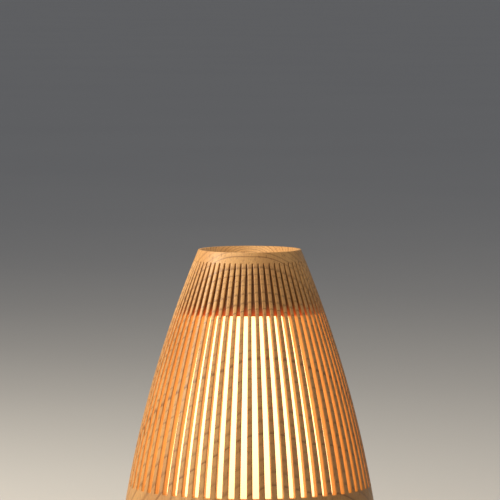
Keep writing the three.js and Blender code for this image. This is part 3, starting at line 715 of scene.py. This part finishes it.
# ---- tank, duct and disc -------------------------------------------------------------------------
TANK_FLOOR = 37.0
FLOOR_TOP = 39.5
TANK_TOP = 82.0
TANK_RADIUS = 49.0
TANK_INSIDE = 46.5
FLANGE_RADIUS = 60.0
DUCT_Y = 32.0
DUCT_RADIUS = 9.0
DUCT_BORE = 7.3
DUCT_TOP = 80.0
DUCT_SIDES = 66  # no corner of the duct or its bore lies over an edge of the bowl, or over each other
BORE_SIDES = 62
SEAL_RADIUS = 10.7
CLAMP_CIRCLE = 13.5
CLAMP_SIDES = 30  # the same for the clamp's bosses and screw holes
BOSS_DROP = 1.6
LINE_HEIGHT = 71.0  # the filling mark
LINE_DEPTH = 0.5
THIRDS = [math.radians(angle) for angle in (-90, 30, 150)]
QUARTERS = [math.radians(angle) for angle in (45, 135, 225, 315)]


def polar(radius, angle):
    return radius * math.cos(angle), radius * math.sin(angle)


def upright(radius, low, high, centre, edge=0.0, segments=32):
    """A cylinder from low to high, its rims rounded by edge."""
    corners = [(0, low, 0), (radius, low, edge), (radius, high, edge), (0, high, 0)]
    return turned("cylinder", rounded(corners), segments, centre, closed=False)


def tank():
    """The bowl with its rolled lip and flange, joined to the upright air duct and the bosses under its
    floor, then bored for the duct and the clamp's screws. A low ring inside marks the filling height."""
    corners = [
        (SEAL_RADIUS + GAP, TANK_FLOOR, 0.3), (TANK_INSIDE, TANK_FLOOR, 0.3),
        (TANK_INSIDE, LIGHT_FOOT, 0.5), (FLANGE_RADIUS, LIGHT_FOOT, 0.5),
        (FLANGE_RADIUS, LIGHT_FOOT + 2.5, 0.6), (TANK_RADIUS, LIGHT_FOOT + 2.5, 1.0),
        (TANK_RADIUS, TANK_TOP - 2.4, 0.6), (TANK_RADIUS + 0.8, TANK_TOP - 1.8, 0.3),
        (TANK_RADIUS + 0.8, TANK_TOP, 0.7), (TANK_INSIDE, TANK_TOP, 1.0),
        (TANK_INSIDE, LINE_HEIGHT + 1.4, 0.2), (TANK_INSIDE - LINE_DEPTH, LINE_HEIGHT + 1.0, 0.2),
        (TANK_INSIDE - LINE_DEPTH, LINE_HEIGHT + 0.4, 0.2), (TANK_INSIDE, LINE_HEIGHT, 0.2),
        (TANK_INSIDE, FLOOR_TOP, 5.0), (SEAL_RADIUS + GAP, FLOOR_TOP, 0.5),
    ]
    bowl = turned("tank", rounded(corners, 6), 144)
    added = [upright(DUCT_RADIUS, TANK_FLOOR + 0.4, DUCT_TOP, (0, DUCT_Y), 0.4, DUCT_SIDES)]
    holes = [upright(DUCT_BORE, TANK_FLOOR - 1, DUCT_TOP + 1, (0, DUCT_Y), 0, BORE_SIDES)]
    for angle in THIRDS:
        place = polar(CLAMP_CIRCLE, angle)
        added.append(upright(2.6, TANK_FLOOR - BOSS_DROP, TANK_FLOOR + 0.5, place, 0.2, CLAMP_SIDES))
        holes.append(upright(1.2, TANK_FLOOR - 2, TANK_FLOOR + 1.7, place, 0, CLAMP_SIDES))
    cut(bowl, added, join=True)
    return cut(bowl, holes)


def window(angle, low, high, half, near, far):
    """A radial block as a cutter, turned by angle about the air duct's axis."""
    block = boxed("cutter", (near, -half, low), (far, half, high), 0.6)
    points = np.array([v.co for v in block.data.vertices]) / MM
    flat = points[:, 0] + 1j * points[:, 1]
    flat = flat * np.exp(1j * angle) + 1j * DUCT_Y
    points = np.stack([flat.real, flat.imag, points[:, 2]], -1) * MM
    block.data.vertices.foreach_set("co", points.ravel())
    return block


def duct_hood():
    """The hood over the air duct: a straight skirt under a low domed roof, with three windows."""
    inside, outside = DUCT_RADIUS + GAP, DUCT_RADIUS + GAP + 1.5
    roof = DUCT_TOP + 9
    corners = [
        (0, roof - 1.4, 0), (inside, roof - 2.8, 1.5), (inside, DUCT_TOP - 4, 0.4),
        (outside, DUCT_TOP - 4, 0.4), (outside, roof - 1.6, 2.2), (0, roof + 0.6, 0),
    ]
    hood = turned("duct_hood", rounded(corners, 6), 96, (0, DUCT_Y), closed=False)
    return cut(hood, [window(a, DUCT_TOP + 0.8, DUCT_TOP + 4.4, 3.2, 6, 14) for a in THIRDS])


settle(tank(), "water_tank", MILKY)
settle(duct_hood(), "duct_cap", SATIN)

SEAL_LOW = TANK_FLOOR - BOSS_DROP
SEAL_HIGH = FLOOR_TOP - 0.5
SEAL_LIP = 6.8
SEAL_POCKET = 8.4
seal_corners = [
    (SEAL_RADIUS, SEAL_LOW, 0.3), (SEAL_RADIUS, SEAL_HIGH, 0.4), (SEAL_LIP, SEAL_HIGH, 0.35),
    (SEAL_LIP, SEAL_HIGH - 0.8, 0.2), (SEAL_POCKET, SEAL_HIGH - 0.8, 0.1),
    (SEAL_POCKET, SEAL_LOW + 0.7, 0.1), (SEAL_LIP, SEAL_LOW + 0.7, 0.2), (SEAL_LIP, SEAL_LOW, 0.2),
]
disc_seal = turned("disc_seal", rounded(seal_corners), 96)
settle(disc_seal, "transducer_seal", SILICONE)

# the disc: a shallow dish pressed into its middle, where the mist forms
disc_low, disc_high = SEAL_LOW + 1.0, SEAL_HIGH - 1.1
disc_corners = [
    (0, disc_low, 0), (SEAL_POCKET - GAP, disc_low, 0.2), (SEAL_POCKET - GAP, disc_high, 0.2),
    (5.0, disc_high, 1.0), (4.0, disc_high - 0.25, 1.0), (0, disc_high - 0.25, 0),
]
disc = turned("mist_disc", rounded(disc_corners), 96, closed=False)
settle(disc, "transducer_disc", DISC_METAL)

GASKET_OUTSIDE, GASKET_INSIDE = 57.1, 55.3
gasket_corners = [
    (GASKET_OUTSIDE, DECK - 0.9, 0.1), (GASKET_OUTSIDE, DECK, 0.25),
    ((GASKET_OUTSIDE + GASKET_INSIDE) / 2, DECK - 0.15, 0.3), (GASKET_INSIDE, DECK, 0.25),
    (GASKET_INSIDE, DECK - 0.9, 0.1),
]
settle(turned("deck_gasket", rounded(gasket_corners), 144), "tank_seal", SILICONE)


# ---- lamp ring -----------------------------------------------------------------------------------
BOARD_LOW = DECK + 2.5 + 2 * GAP
BOARD_HIGH = BOARD_LOW + 1.6
RING_INSIDE = TANK_RADIUS + 1.5
LAMPS = 8
LAMP_CIRCLE = (RING_INSIDE + FLANGE_RADIUS) / 2

ring_corners = [
    (RING_INSIDE, BOARD_LOW, 0.15), (FLANGE_RADIUS, BOARD_LOW, 0.15),
    (FLANGE_RADIUS, BOARD_HIGH, 0.15), (RING_INSIDE, BOARD_HIGH, 0.15),
]
settle(turned("lamp_ring", rounded(ring_corners), 144), "light_board", WHITE_BOARD)


def lamp(number, angle):
    """A square lamp: a base with a low domed lens. The height over a square grid of half side a is
    low + rise * (1 - (x / a)^4) * (1 - (y / a)^4), closed by a flat underside with a short wall."""
    half, low, wall, rise = 2.5, BOARD_HIGH + GAP, 1.0, 0.6
    side = np.linspace(-1, 1, 13)
    x, y = np.meshgrid(side * half, side * half)
    top = low + wall + rise * (1 - (x / half) ** 4) * (1 - (y / half) ** 4)
    patches = slab(np.stack([x, y, np.full_like(x, low)], -1), np.stack([x, y, top], -1))
    c, s = math.cos(angle), math.sin(angle)
    turn = np.array([[c, s, 0], [-s, c, 0], [0, 0, 1]])
    place = np.array([*polar(LAMP_CIRCLE, angle), 0])
    piece = welded(f"lamp_{number}", [patch @ turn + place for patch in patches])
    settle(piece, f"led_{number}", RESIN)


for i in range(LAMPS):
    lamp(i + 1, (i + 0.5) * TAU / LAMPS)


# ---- base ----------------------------------------------------------------------------------------
PLINTH_RADIUS = 73.5
PLINTH_FOOT = 3.0
PLINTH_INSIDE = PLINTH_RADIUS - 2.5
DECK_RADIUS = 66.5
RIB_OUTSIDE = 62.8  # the rib that centres the light cover
RIB_INSIDE = 61.6
RIB_HIGH = DECK + 3
TRACK_OUTSIDE = 57.4  # the groove for the gasket
TRACK_INSIDE = 55.0
TRACK_LOW = DECK - 1.2
DECK_UNDER = DECK - 2.4
SHELF_UNDER = SHELF - 2.5
BOTTOM_TOP = 5.5
BOTTOM_RADIUS = 69.2
SCREW_CIRCLE = 65.0
FOOT_CIRCLE = 54.0
SOCKET_Z = 10.5
SOCKET_FACE = 67.0
BUTTON_X = 11.0
BUTTON_Z = 10.5
BUTTON_RADIUS = 3.8
BUTTON_FACE = -73.4


def plinth():
    """The base casing turned in one profile: foot chamfer, wall, shelf for the wooden cover, upright wall,
    deck with its rib and gasket groove. Bosses are joined under the shelf, and the holes for the screws,
    the buttons and the power socket are bored."""
    corners = [
        (PLINTH_RADIUS - 1.5, PLINTH_FOOT, 0.3), (PLINTH_RADIUS, PLINTH_FOOT + 4, 2.0),
        (PLINTH_RADIUS, SHELF, 1.2), (DECK_RADIUS + 0.3, SHELF, 0.6), (DECK_RADIUS, DECK, 0.8),
        (RIB_OUTSIDE, DECK, 0.3), (RIB_OUTSIDE, RIB_HIGH, 0.4), (RIB_INSIDE, RIB_HIGH, 0.4),
        (RIB_INSIDE - 0.2, DECK, 0.3), (TRACK_OUTSIDE, DECK, 0.2), (TRACK_OUTSIDE, TRACK_LOW, 0.1),
        (TRACK_INSIDE, TRACK_LOW, 0.1), (TRACK_INSIDE, DECK, 0.2), (RING_INSIDE, DECK, 0.5),
        (RING_INSIDE, DECK_UNDER, 0.3), (DECK_RADIUS - 2.2, DECK_UNDER, 1.0),
        (DECK_RADIUS - 2.2, SHELF_UNDER, 0.6), (PLINTH_INSIDE, SHELF_UNDER, 1.0),
        (PLINTH_INSIDE, PLINTH_FOOT + 4, 0.5), (BOTTOM_RADIUS + 0.5, PLINTH_FOOT, 0.3),
    ]
    casing = turned("plinth", rounded(corners, 5), 216)
    bosses = [upright(3.2, BOTTOM_TOP + GAP, SHELF - 2, polar(SCREW_CIRCLE, a), 0.3) for a in QUARTERS]
    cut(casing, bosses, join=True)
    holes = [upright(1.5, BOTTOM_TOP - 1, SHELF - 4, polar(SCREW_CIRCLE, a)) for a in QUARTERS]
    for x in (-BUTTON_X, BUTTON_X):
        holes.append(sideways(BUTTON_RADIUS + GAP, -80, -64, x, BUTTON_Z, 64))
    holes.append(sideways(4.8, PLINTH_INSIDE - 4, PLINTH_RADIUS + 4, 0, SOCKET_Z, 64))
    return cut(casing, holes)


def slot_bar(x, y, length, width, low, high):
    """An upright bar with half-round ends, as a cutter. Its outline is two half circles apart in X."""
    reach = (length - width) / 2
    angle = np.linspace(-math.pi / 2, math.pi / 2, 13)
    right = np.stack([x + reach + width / 2 * np.cos(angle), y + width / 2 * np.sin(angle)], -1)
    left = np.stack([x - reach - width / 2 * np.cos(angle), y - width / 2 * np.sin(angle)], -1)
    outline = np.concatenate([right, left, right[:1]])
    middle = np.array([[x, y]])
    rows = []
    for flat, z in ((middle, low), (outline, low), (outline, high), (middle, high)):
        flat = np.broadcast_to(flat, outline.shape)
        rows.append(np.concatenate([flat, np.full((len(outline), 1), z)], 1))
    return welded("cutter", [np.array(rows)[None]])


BOARD_PEG, PEG_TIP, FAN_PAD = 2.5, 1.1, 2.4  # radii of the plate's posts
BOARD_PEGS = [(x, y) for x in (-28, 28) for y in (-46, -16)]
FAN_REACH = 17.0  # from the fan's axis to its pads, in x and y
FAN_PADS = [(x, DUCT_Y + y) for x in (-FAN_REACH, FAN_REACH) for y in (-FAN_REACH, FAN_REACH)]
FAN_LOW = 7.0
FAN_HIGH = 17.0
BOARD_UNDER = 10.0
VENTS, VENT_STEP, VENT_LENGTH, VENT_WIDTH = 6, 6, 32, 3


def floor_plate():
    """The bottom cover: a disc with a softened edge, stepped pegs for the board, pads for the fan, and
    holes for the vents, feet and screws."""
    corners = [
        (0, PLINTH_FOOT, 0), (BOTTOM_RADIUS - 0.3, PLINTH_FOOT, 0.5),
        (BOTTOM_RADIUS, BOTTOM_TOP, 0.3), (0, BOTTOM_TOP, 0),
    ]
    plate = turned("floor_plate", rounded(corners), 216, closed=False)
    root = BOTTOM_TOP - 0.5
    posts = []
    for place in BOARD_PEGS:
        posts.append(upright(BOARD_PEG, root, BOARD_UNDER - GAP, place, 0.2))
        posts.append(upright(PEG_TIP, BOARD_UNDER - 0.8, BOARD_UNDER + 2.6, place, 0.3))
    for place in FAN_PADS:
        posts.append(upright(FAN_PAD, root, FAN_LOW - GAP, place, 0.2))
    cut(plate, posts, join=True)
    low, high = PLINTH_FOOT - 1, BOTTOM_TOP + 0.3
    holes = []
    for i in range(VENTS):
        y = DUCT_Y + VENT_STEP * (i - (VENTS - 1) / 2)
        holes.append(slot_bar(0, y, VENT_LENGTH, VENT_WIDTH, low, high))
    for angle in QUARTERS:
        place = polar(SCREW_CIRCLE, angle)
        holes.append(upright(FOOT_STUB + GAP, low, high, polar(FOOT_CIRCLE, angle)))
        holes.append(upright(THREAD + 0.6, low, high, place))
        holes.append(upright(SCREW_HEAD + 0.4, low, PLINTH_FOOT + HEAD_HEIGHT + 0.4, place))
    return cut(plate, holes)


FOOT_TOP = PLINTH_FOOT - GAP
FOOT_STUB = 2.7
STUB_TOP = BOTTOM_TOP - GAP


def rubber_foot(number, centre):
    """A foot with a softened rim and a dished sole, on a stub that plugs into the bottom cover."""
    corners = [
        (0, 0.5, 0), (4.2, 0.5, 0.3), (4.6, 0, 0.2), (6.5, 0, 0.5), (7.0, 1.2, 0.6),
        (6.8, FOOT_TOP, 0.5), (FOOT_STUB, FOOT_TOP, 0.2), (FOOT_STUB, STUB_TOP, 0.6),
        (0, STUB_TOP, 0),
    ]
    foot = turned(f"rubber_foot_{number}", rounded(corners), 64, centre, closed=False)
    settle(foot, f"foot_{number}", RUBBER)


SCREW_HEAD, HEAD_HEIGHT = 2.9, 1.1
THREAD, THREAD_ROOT, THREAD_STEP = 1.2, 1.0, 0.9
RECESS_REACH, RECESS_HALF = 1.5, 0.28


def crossed(x, y, reach, half, low, high, bevel):
    """Two bars across each other at x and y, as cutters."""
    along = boxed("cutter", (x - reach, y - half, low), (x + reach, y + half, high), bevel)
    return [along, boxed("cutter", (x - half, y - reach, low), (x + half, y + reach, high), bevel)]


def cross_screw(number, centre):
    """A pan-head screw, head down, with ridges for its thread and a cross recess."""
    low, tip = PLINTH_FOOT + 0.1, SHELF - 5
    neck = low + HEAD_HEIGHT
    corners = [(0, low, 0), (SCREW_HEAD, low, 0.7), (SCREW_HEAD, neck, 0.2), (THREAD, neck, 0.1)]
    for z in np.arange(low + 2.4, tip - 1.6, THREAD_STEP):
        corners += [(THREAD_ROOT, z, 0), (THREAD, z + 0.3, 0), (THREAD_ROOT, z + 0.6, 0)]
    corners += [(THREAD_ROOT, tip - 1.2, 0.2), (0, tip, 0)]
    screw = turned(f"cross_screw_{number}", rounded(corners), 40, centre, closed=False)
    cut(screw, crossed(*centre, RECESS_REACH, RECESS_HALF, low - 0.5, low + 0.7, 0.1))
    settle(screw, f"base_screw_{number}", STEEL)


settle(plinth(), "base_casing", SATIN)
settle(floor_plate(), "bottom_cover", SATIN)
for i, quarter in enumerate(QUARTERS, 1):
    rubber_foot(i, polar(FOOT_CIRCLE, quarter))
    cross_screw(i, polar(SCREW_CIRCLE, quarter))


# ---- buttons and socket --------------------------------------------------------------------------
def along_y(name, profile, x, z, segments=64):
    """A profile of (radius, y) points carried round the axis that runs along Y through x and z."""
    profile = np.asarray(profile, float)
    angle = np.linspace(0, TAU, segments + 1)
    angle[-1] = 0
    r, y = profile[:, :1], profile[:, 1:]
    points = np.stack(np.broadcast_arrays(x + r * np.sin(angle), y, z + r * np.cos(angle)), -1)
    return welded(name, [points[None]])


FLANGE, FLANGE_FRONT, FLANGE_BACK = 4.6, -68.2, -67.0  # the button's flange behind the wall
STEM, STEM_BACK = 1.5, -66.2
MARK_FACE = BUTTON_FACE + 0.1
DOT = [
    (0, MARK_FACE), (0.35, MARK_FACE + 0.05), (0.55, MARK_FACE + 0.3), (0.55, MARK_FACE + 0.8),
    (0, MARK_FACE + 0.8),
]


def push_button(name, x, raised):
    """A round button with a dished face, and a generic raised dot or bar to tell it by touch."""
    corners = [
        (0, BUTTON_FACE + 0.35, 0), (2.4, BUTTON_FACE + 0.25, 1.0), (3.2, BUTTON_FACE, 0.3),
        (BUTTON_RADIUS, BUTTON_FACE, 0.35), (BUTTON_RADIUS, FLANGE_FRONT, 0.1),
        (FLANGE, FLANGE_FRONT, 0.1), (FLANGE, FLANGE_BACK, 0.1), (STEM, FLANGE_BACK, 0.1),
        (STEM, STEM_BACK, 0.2), (0, STEM_BACK, 0),
    ]
    button = along_y(f"{name}_push", rounded(corners), x, BUTTON_Z)
    if raised == "dot":
        mark = along_y("mark", DOT, x, BUTTON_Z, 24)
    else:
        low = (x - 1.3, MARK_FACE, BUTTON_Z - 0.3)
        mark = boxed("mark", low, (x + 1.3, MARK_FACE + 0.7, BUTTON_Z + 0.3), 0.15)
    cut(button, [mark], join=True)
    settle(button, f"{name}_button", BUTTON, f"{name}_key")


push_button("mist", -BUTTON_X, "dot")
push_button("light", BUTTON_X, "bar")


SOCKET_BORE, SOCKET_MOUTH = 3.2, 3.9  # the bore, and its flare at the face
SOCKET_HALF, SOCKET_BACK = 4.7, SOCKET_FACE - 9
SOCKET_PIN, PIN_TIP = 1.05, 66.2


def power_inlet():
    """The socket's housing with its bore, flared at the face, and the pin in its middle."""
    low, high = SOCKET_Z - SOCKET_HALF, SOCKET_Z + SOCKET_HALF
    housing = boxed("power_inlet", (-SOCKET_HALF, SOCKET_BACK, low), (SOCKET_HALF, SOCKET_FACE, high), 0.5)
    flare = [
        (0, SOCKET_FACE - 3), (SOCKET_BORE, SOCKET_FACE - 3), (SOCKET_BORE, SOCKET_FACE - 0.5),
        (SOCKET_MOUTH, SOCKET_FACE + 0.3), (SOCKET_MOUTH, SOCKET_FACE + 2), (0, SOCKET_FACE + 2),
    ]
    bore = sideways(SOCKET_BORE, SOCKET_BACK + 1.5, SOCKET_FACE + 1, 0, SOCKET_Z)
    cut(housing, [bore, along_y("cutter", flare, 0, SOCKET_Z)])
    root = SOCKET_BACK + 0.5
    pin = [(0, root), (SOCKET_PIN, root), (SOCKET_PIN, PIN_TIP - 0.3)]
    pin += [(SOCKET_PIN - 0.2, PIN_TIP), (0, PIN_TIP)]
    cut(housing, [along_y("pin", pin, 0, SOCKET_Z, 32)], join=True)
    settle(housing, "power_socket", BLACK)


power_inlet()


# ---- fan, air funnel and board parts -------------------------------------------------------------
HUB = 10.0
BLADES, BLADE_ROOT, BLADE_TIP, HALF_CHORD = 7, 9.6, 17.9, 3.5
CLIMB = 2.3  # height of a blade's edges over or under its middle
BLADE_HALF = 0.55  # half of a blade's thickness


def fan_wheel():
    """A rounded hub with seven blades. The chord of a blade lies along an arc at every radius, and is swept
    forward a little towards the tip. It climbs with t - 0.12 t^3 for t from edge to edge, and its
    thickness goes with the square root of 1.04 - t^2."""
    low, high = FAN_LOW + 1.6, FAN_HIGH - 0.8
    corners = [(0, low, 0), (HUB - 1, low, 0.4), (HUB, low + 0.8, 0.5), (HUB, high, 1.2), (0, high, 0)]
    hub = turned("fan_wheel", rounded(corners, 5), 84, (0, DUCT_Y), closed=False)
    radius = np.linspace(BLADE_ROOT, BLADE_TIP, 7)[:, None]
    t = np.linspace(-1, 1, 9)[None]
    middle = (low + high) / 2 + t * CLIMB * (1 - 0.12 * t**2)
    thick = BLADE_HALF * np.sqrt(1.04 - t**2)
    blades = []
    for i in range(BLADES):
        angle = TAU * i / BLADES + HALF_CHORD / radius * t + 0.06 * (radius - BLADE_ROOT) / 8
        sheets = slab(spun(radius, angle, middle + thick), spun(radius, angle, middle - thick))
        blades.append(welded("blade", [sheet + np.array([0, DUCT_Y, 0]) for sheet in sheets]))
    return cut(hub, blades, join=True)


settle(fan_wheel(), "fan_rotor", BLACK, "rotor")

FUNNEL_LOW = FAN_HIGH + GAP
FUNNEL_HIGH = TANK_FLOOR - GAP
FUNNEL_WAIST = 29.3  # height where the cone meets the neck
FLANGE_TOP = FUNNEL_LOW + 2
NECK, NECK_BORE, MOUTH = 10.4, 8.8, 16.9
funnel_corners = [
    (19.5, FUNNEL_LOW, 0.3), (19.5, FLANGE_TOP, 0.3), (18.5, FLANGE_TOP, 0.5),
    (NECK, FUNNEL_WAIST, 3.0), (NECK, FUNNEL_HIGH, 0.3), (NECK_BORE, FUNNEL_HIGH, 0.3),
    (NECK_BORE, FUNNEL_WAIST, 3.0), (MOUTH, FLANGE_TOP - 0.5, 1.0), (MOUTH, FUNNEL_LOW, 0.3),
]
funnel = turned("blower_funnel", rounded(funnel_corners, 6), 96, (0, DUCT_Y))
settle(funnel, "air_funnel", SATIN)

PART_LOW = 11.9  # underside of what stands on the board
COIL_PLACE = (-20, -28)
COIL_BORE, COIL_FLANGE, COIL_TOP = 3.0, 7.0, PART_LOW + 9.0
WIRE, WINDING, TURNS = 0.5, 5.3, 13


def wound_coil():
    """A bobbin with its wire: between the flanges the profile is a row of half circles, one a turn."""
    low = PART_LOW + 1.2
    profile = [(COIL_BORE, PART_LOW), (COIL_FLANGE, PART_LOW), (COIL_FLANGE, low), (WINDING, low)]
    for turn in range(TURNS):
        for t in np.linspace(0, math.pi, 6)[1:]:
            z = low + WIRE * (turn + (1 - math.cos(t)) / 2)
            profile.append((WINDING + WIRE / 2 * math.sin(t), z))
    high = low + WIRE * TURNS
    profile += [(COIL_FLANGE, high), (COIL_FLANGE, COIL_TOP), (COIL_BORE, COIL_TOP)]
    return turned("wound_coil", profile, 72, COIL_PLACE)


settle(wound_coil(), "resonance_coil", BLACK)

# the capacitor: a crimped can with a cross scored in its top, where it would vent
CAN_PLACE = (21, -30)
CAN, CAN_TOP = 5.0, PART_LOW + 12.0
can_corners = [
    (0, PART_LOW, 0), (CAN, PART_LOW, 0.6), (CAN, PART_LOW + 1.4, 0.3),
    (CAN - 0.3, PART_LOW + 1.8, 0.3), (CAN, PART_LOW + 2.2, 0.3), (CAN, CAN_TOP, 0.7),
    (CAN - 0.9, CAN_TOP, 0.1), (CAN - 1.0, CAN_TOP - 0.2, 0.1), (0, CAN_TOP - 0.2, 0),
]
can = turned("capacitor_can", rounded(can_corners, 5), 72, CAN_PLACE, closed=False)
cut(can, crossed(*CAN_PLACE, 2.8, 0.15, CAN_TOP - 0.5, CAN_TOP + 1, 0.05))
settle(can, "filter_capacitor", SLEEVE)

# the ring that clamps the disc's seal from below
CLAMP_OUTSIDE, CLAMP_INSIDE = 16.5, 6.5
CLAMP_LOW, CLAMP_HIGH = 33.4, SEAL_LOW - GAP
clamp_corners = [
    (CLAMP_INSIDE, CLAMP_LOW, 0.3), (CLAMP_OUTSIDE, CLAMP_LOW, 0.4),
    (CLAMP_OUTSIDE, CLAMP_HIGH, 0.4), (CLAMP_INSIDE, CLAMP_HIGH, 0.3),
]
clamp = turned("disc_clamp", rounded(clamp_corners), 96)
cut(clamp, [upright(1.3, 33, 36, polar(CLAMP_CIRCLE, a), 0, CLAMP_SIDES) for a in THIRDS])
settle(clamp, "transducer_clamp", SATIN)


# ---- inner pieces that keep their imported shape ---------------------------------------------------
PACKED = {
    BLACK: ("fan_frame", "driver_transistor", "control_chip", "mist_switch", "light_switch"),
    GREEN: ("control_board", "button_board"),
    STEEL: ("clamp_screw_1", "clamp_screw_2", "clamp_screw_3"),
    ALUMINIUM: ("heat_sink",),
}
for finish, nodes in PACKED.items():
    for node in nodes:
        dress(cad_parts[node], finish)


# ---- floor, light and camera ---------------------------------------------------------------------
def stage():
    """A wide pale floor, which fills the view behind the object too."""
    made, tree, shader, here = material("pale_floor", Roughness=0.75)
    base = mixed(tree, noise(tree, here, 1.5, 4.0), (0.63, 0.62, 0.6), (0.58, 0.57, 0.56))
    feed(shader, Base_Color=base)
    reach = 60.0
    mesh = bpy.data.meshes.new("floor")
    corners = [(-reach, -reach, 0), (reach, -reach, 0), (reach, reach, 0), (-reach, reach, 0)]
    mesh.from_pydata(corners, [], [(0, 1, 2, 3)])
    mesh.materials.append(made)
    placed_object("floor", mesh)


def aimed(holder, place, aim):
    """Puts a light or camera in its place and turns it to look at the aim."""
    holder.location = place
    holder.rotation_euler = (aim - place).to_track_quat("-Z", "Y").to_euler()


def softbox(name, place, side, watts, tint):
    """A square soft light that looks at the object's middle."""
    light = bpy.data.lights.new(name, "AREA")
    light.shape = "RECTANGLE"
    light.size = light.size_y = side
    light.energy = watts
    light.color = tint
    aimed(placed_object(name, light), Vector(place), Vector((0, 0, 0.1)))


def studio():
    """A warm key light from the left, a warm top light, a weak fill and a dim, slightly cool room."""
    world = bpy.data.worlds.new("room")
    world.use_nodes = True
    feed(world.node_tree.nodes["Background"], Color=(0.9, 0.93, 1.0, 1), Strength=0.19)
    bpy.context.scene.world = world
    softbox("key", (-1.25, -0.2, 0.75), 0.4, 17.0, (1.0, 0.89, 0.72))
    softbox("fill", (1.3, -1.1, 0.6), 0.9, 1.0, (1, 1, 1))
    softbox("top", (-0.45, -0.3, 1.35), 0.5, 13.0, (1.0, 0.92, 0.78))
    bpy.context.scene.view_settings.view_transform = "Standard"


def camera():
    """Looks at the rim from the front, a little from above, so that 0.3 m fills the frame's width there."""
    sensor, distance, width = 36.0, 2.6, 0.3
    elevation = math.radians(3.9)
    aim = Vector((0.0002, 0, RIM_HEIGHT * MM - 0.0005))
    lens = bpy.data.cameras.new("camera")
    lens.sensor_width = sensor
    lens.lens = sensor * distance / width
    lens.clip_end = 300
    holder = placed_object("camera", lens)
    aimed(holder, aim + distance * Vector((0, -math.cos(elevation), math.sin(elevation))), aim)
    bpy.context.scene.camera = holder


stage()
studio()
camera()
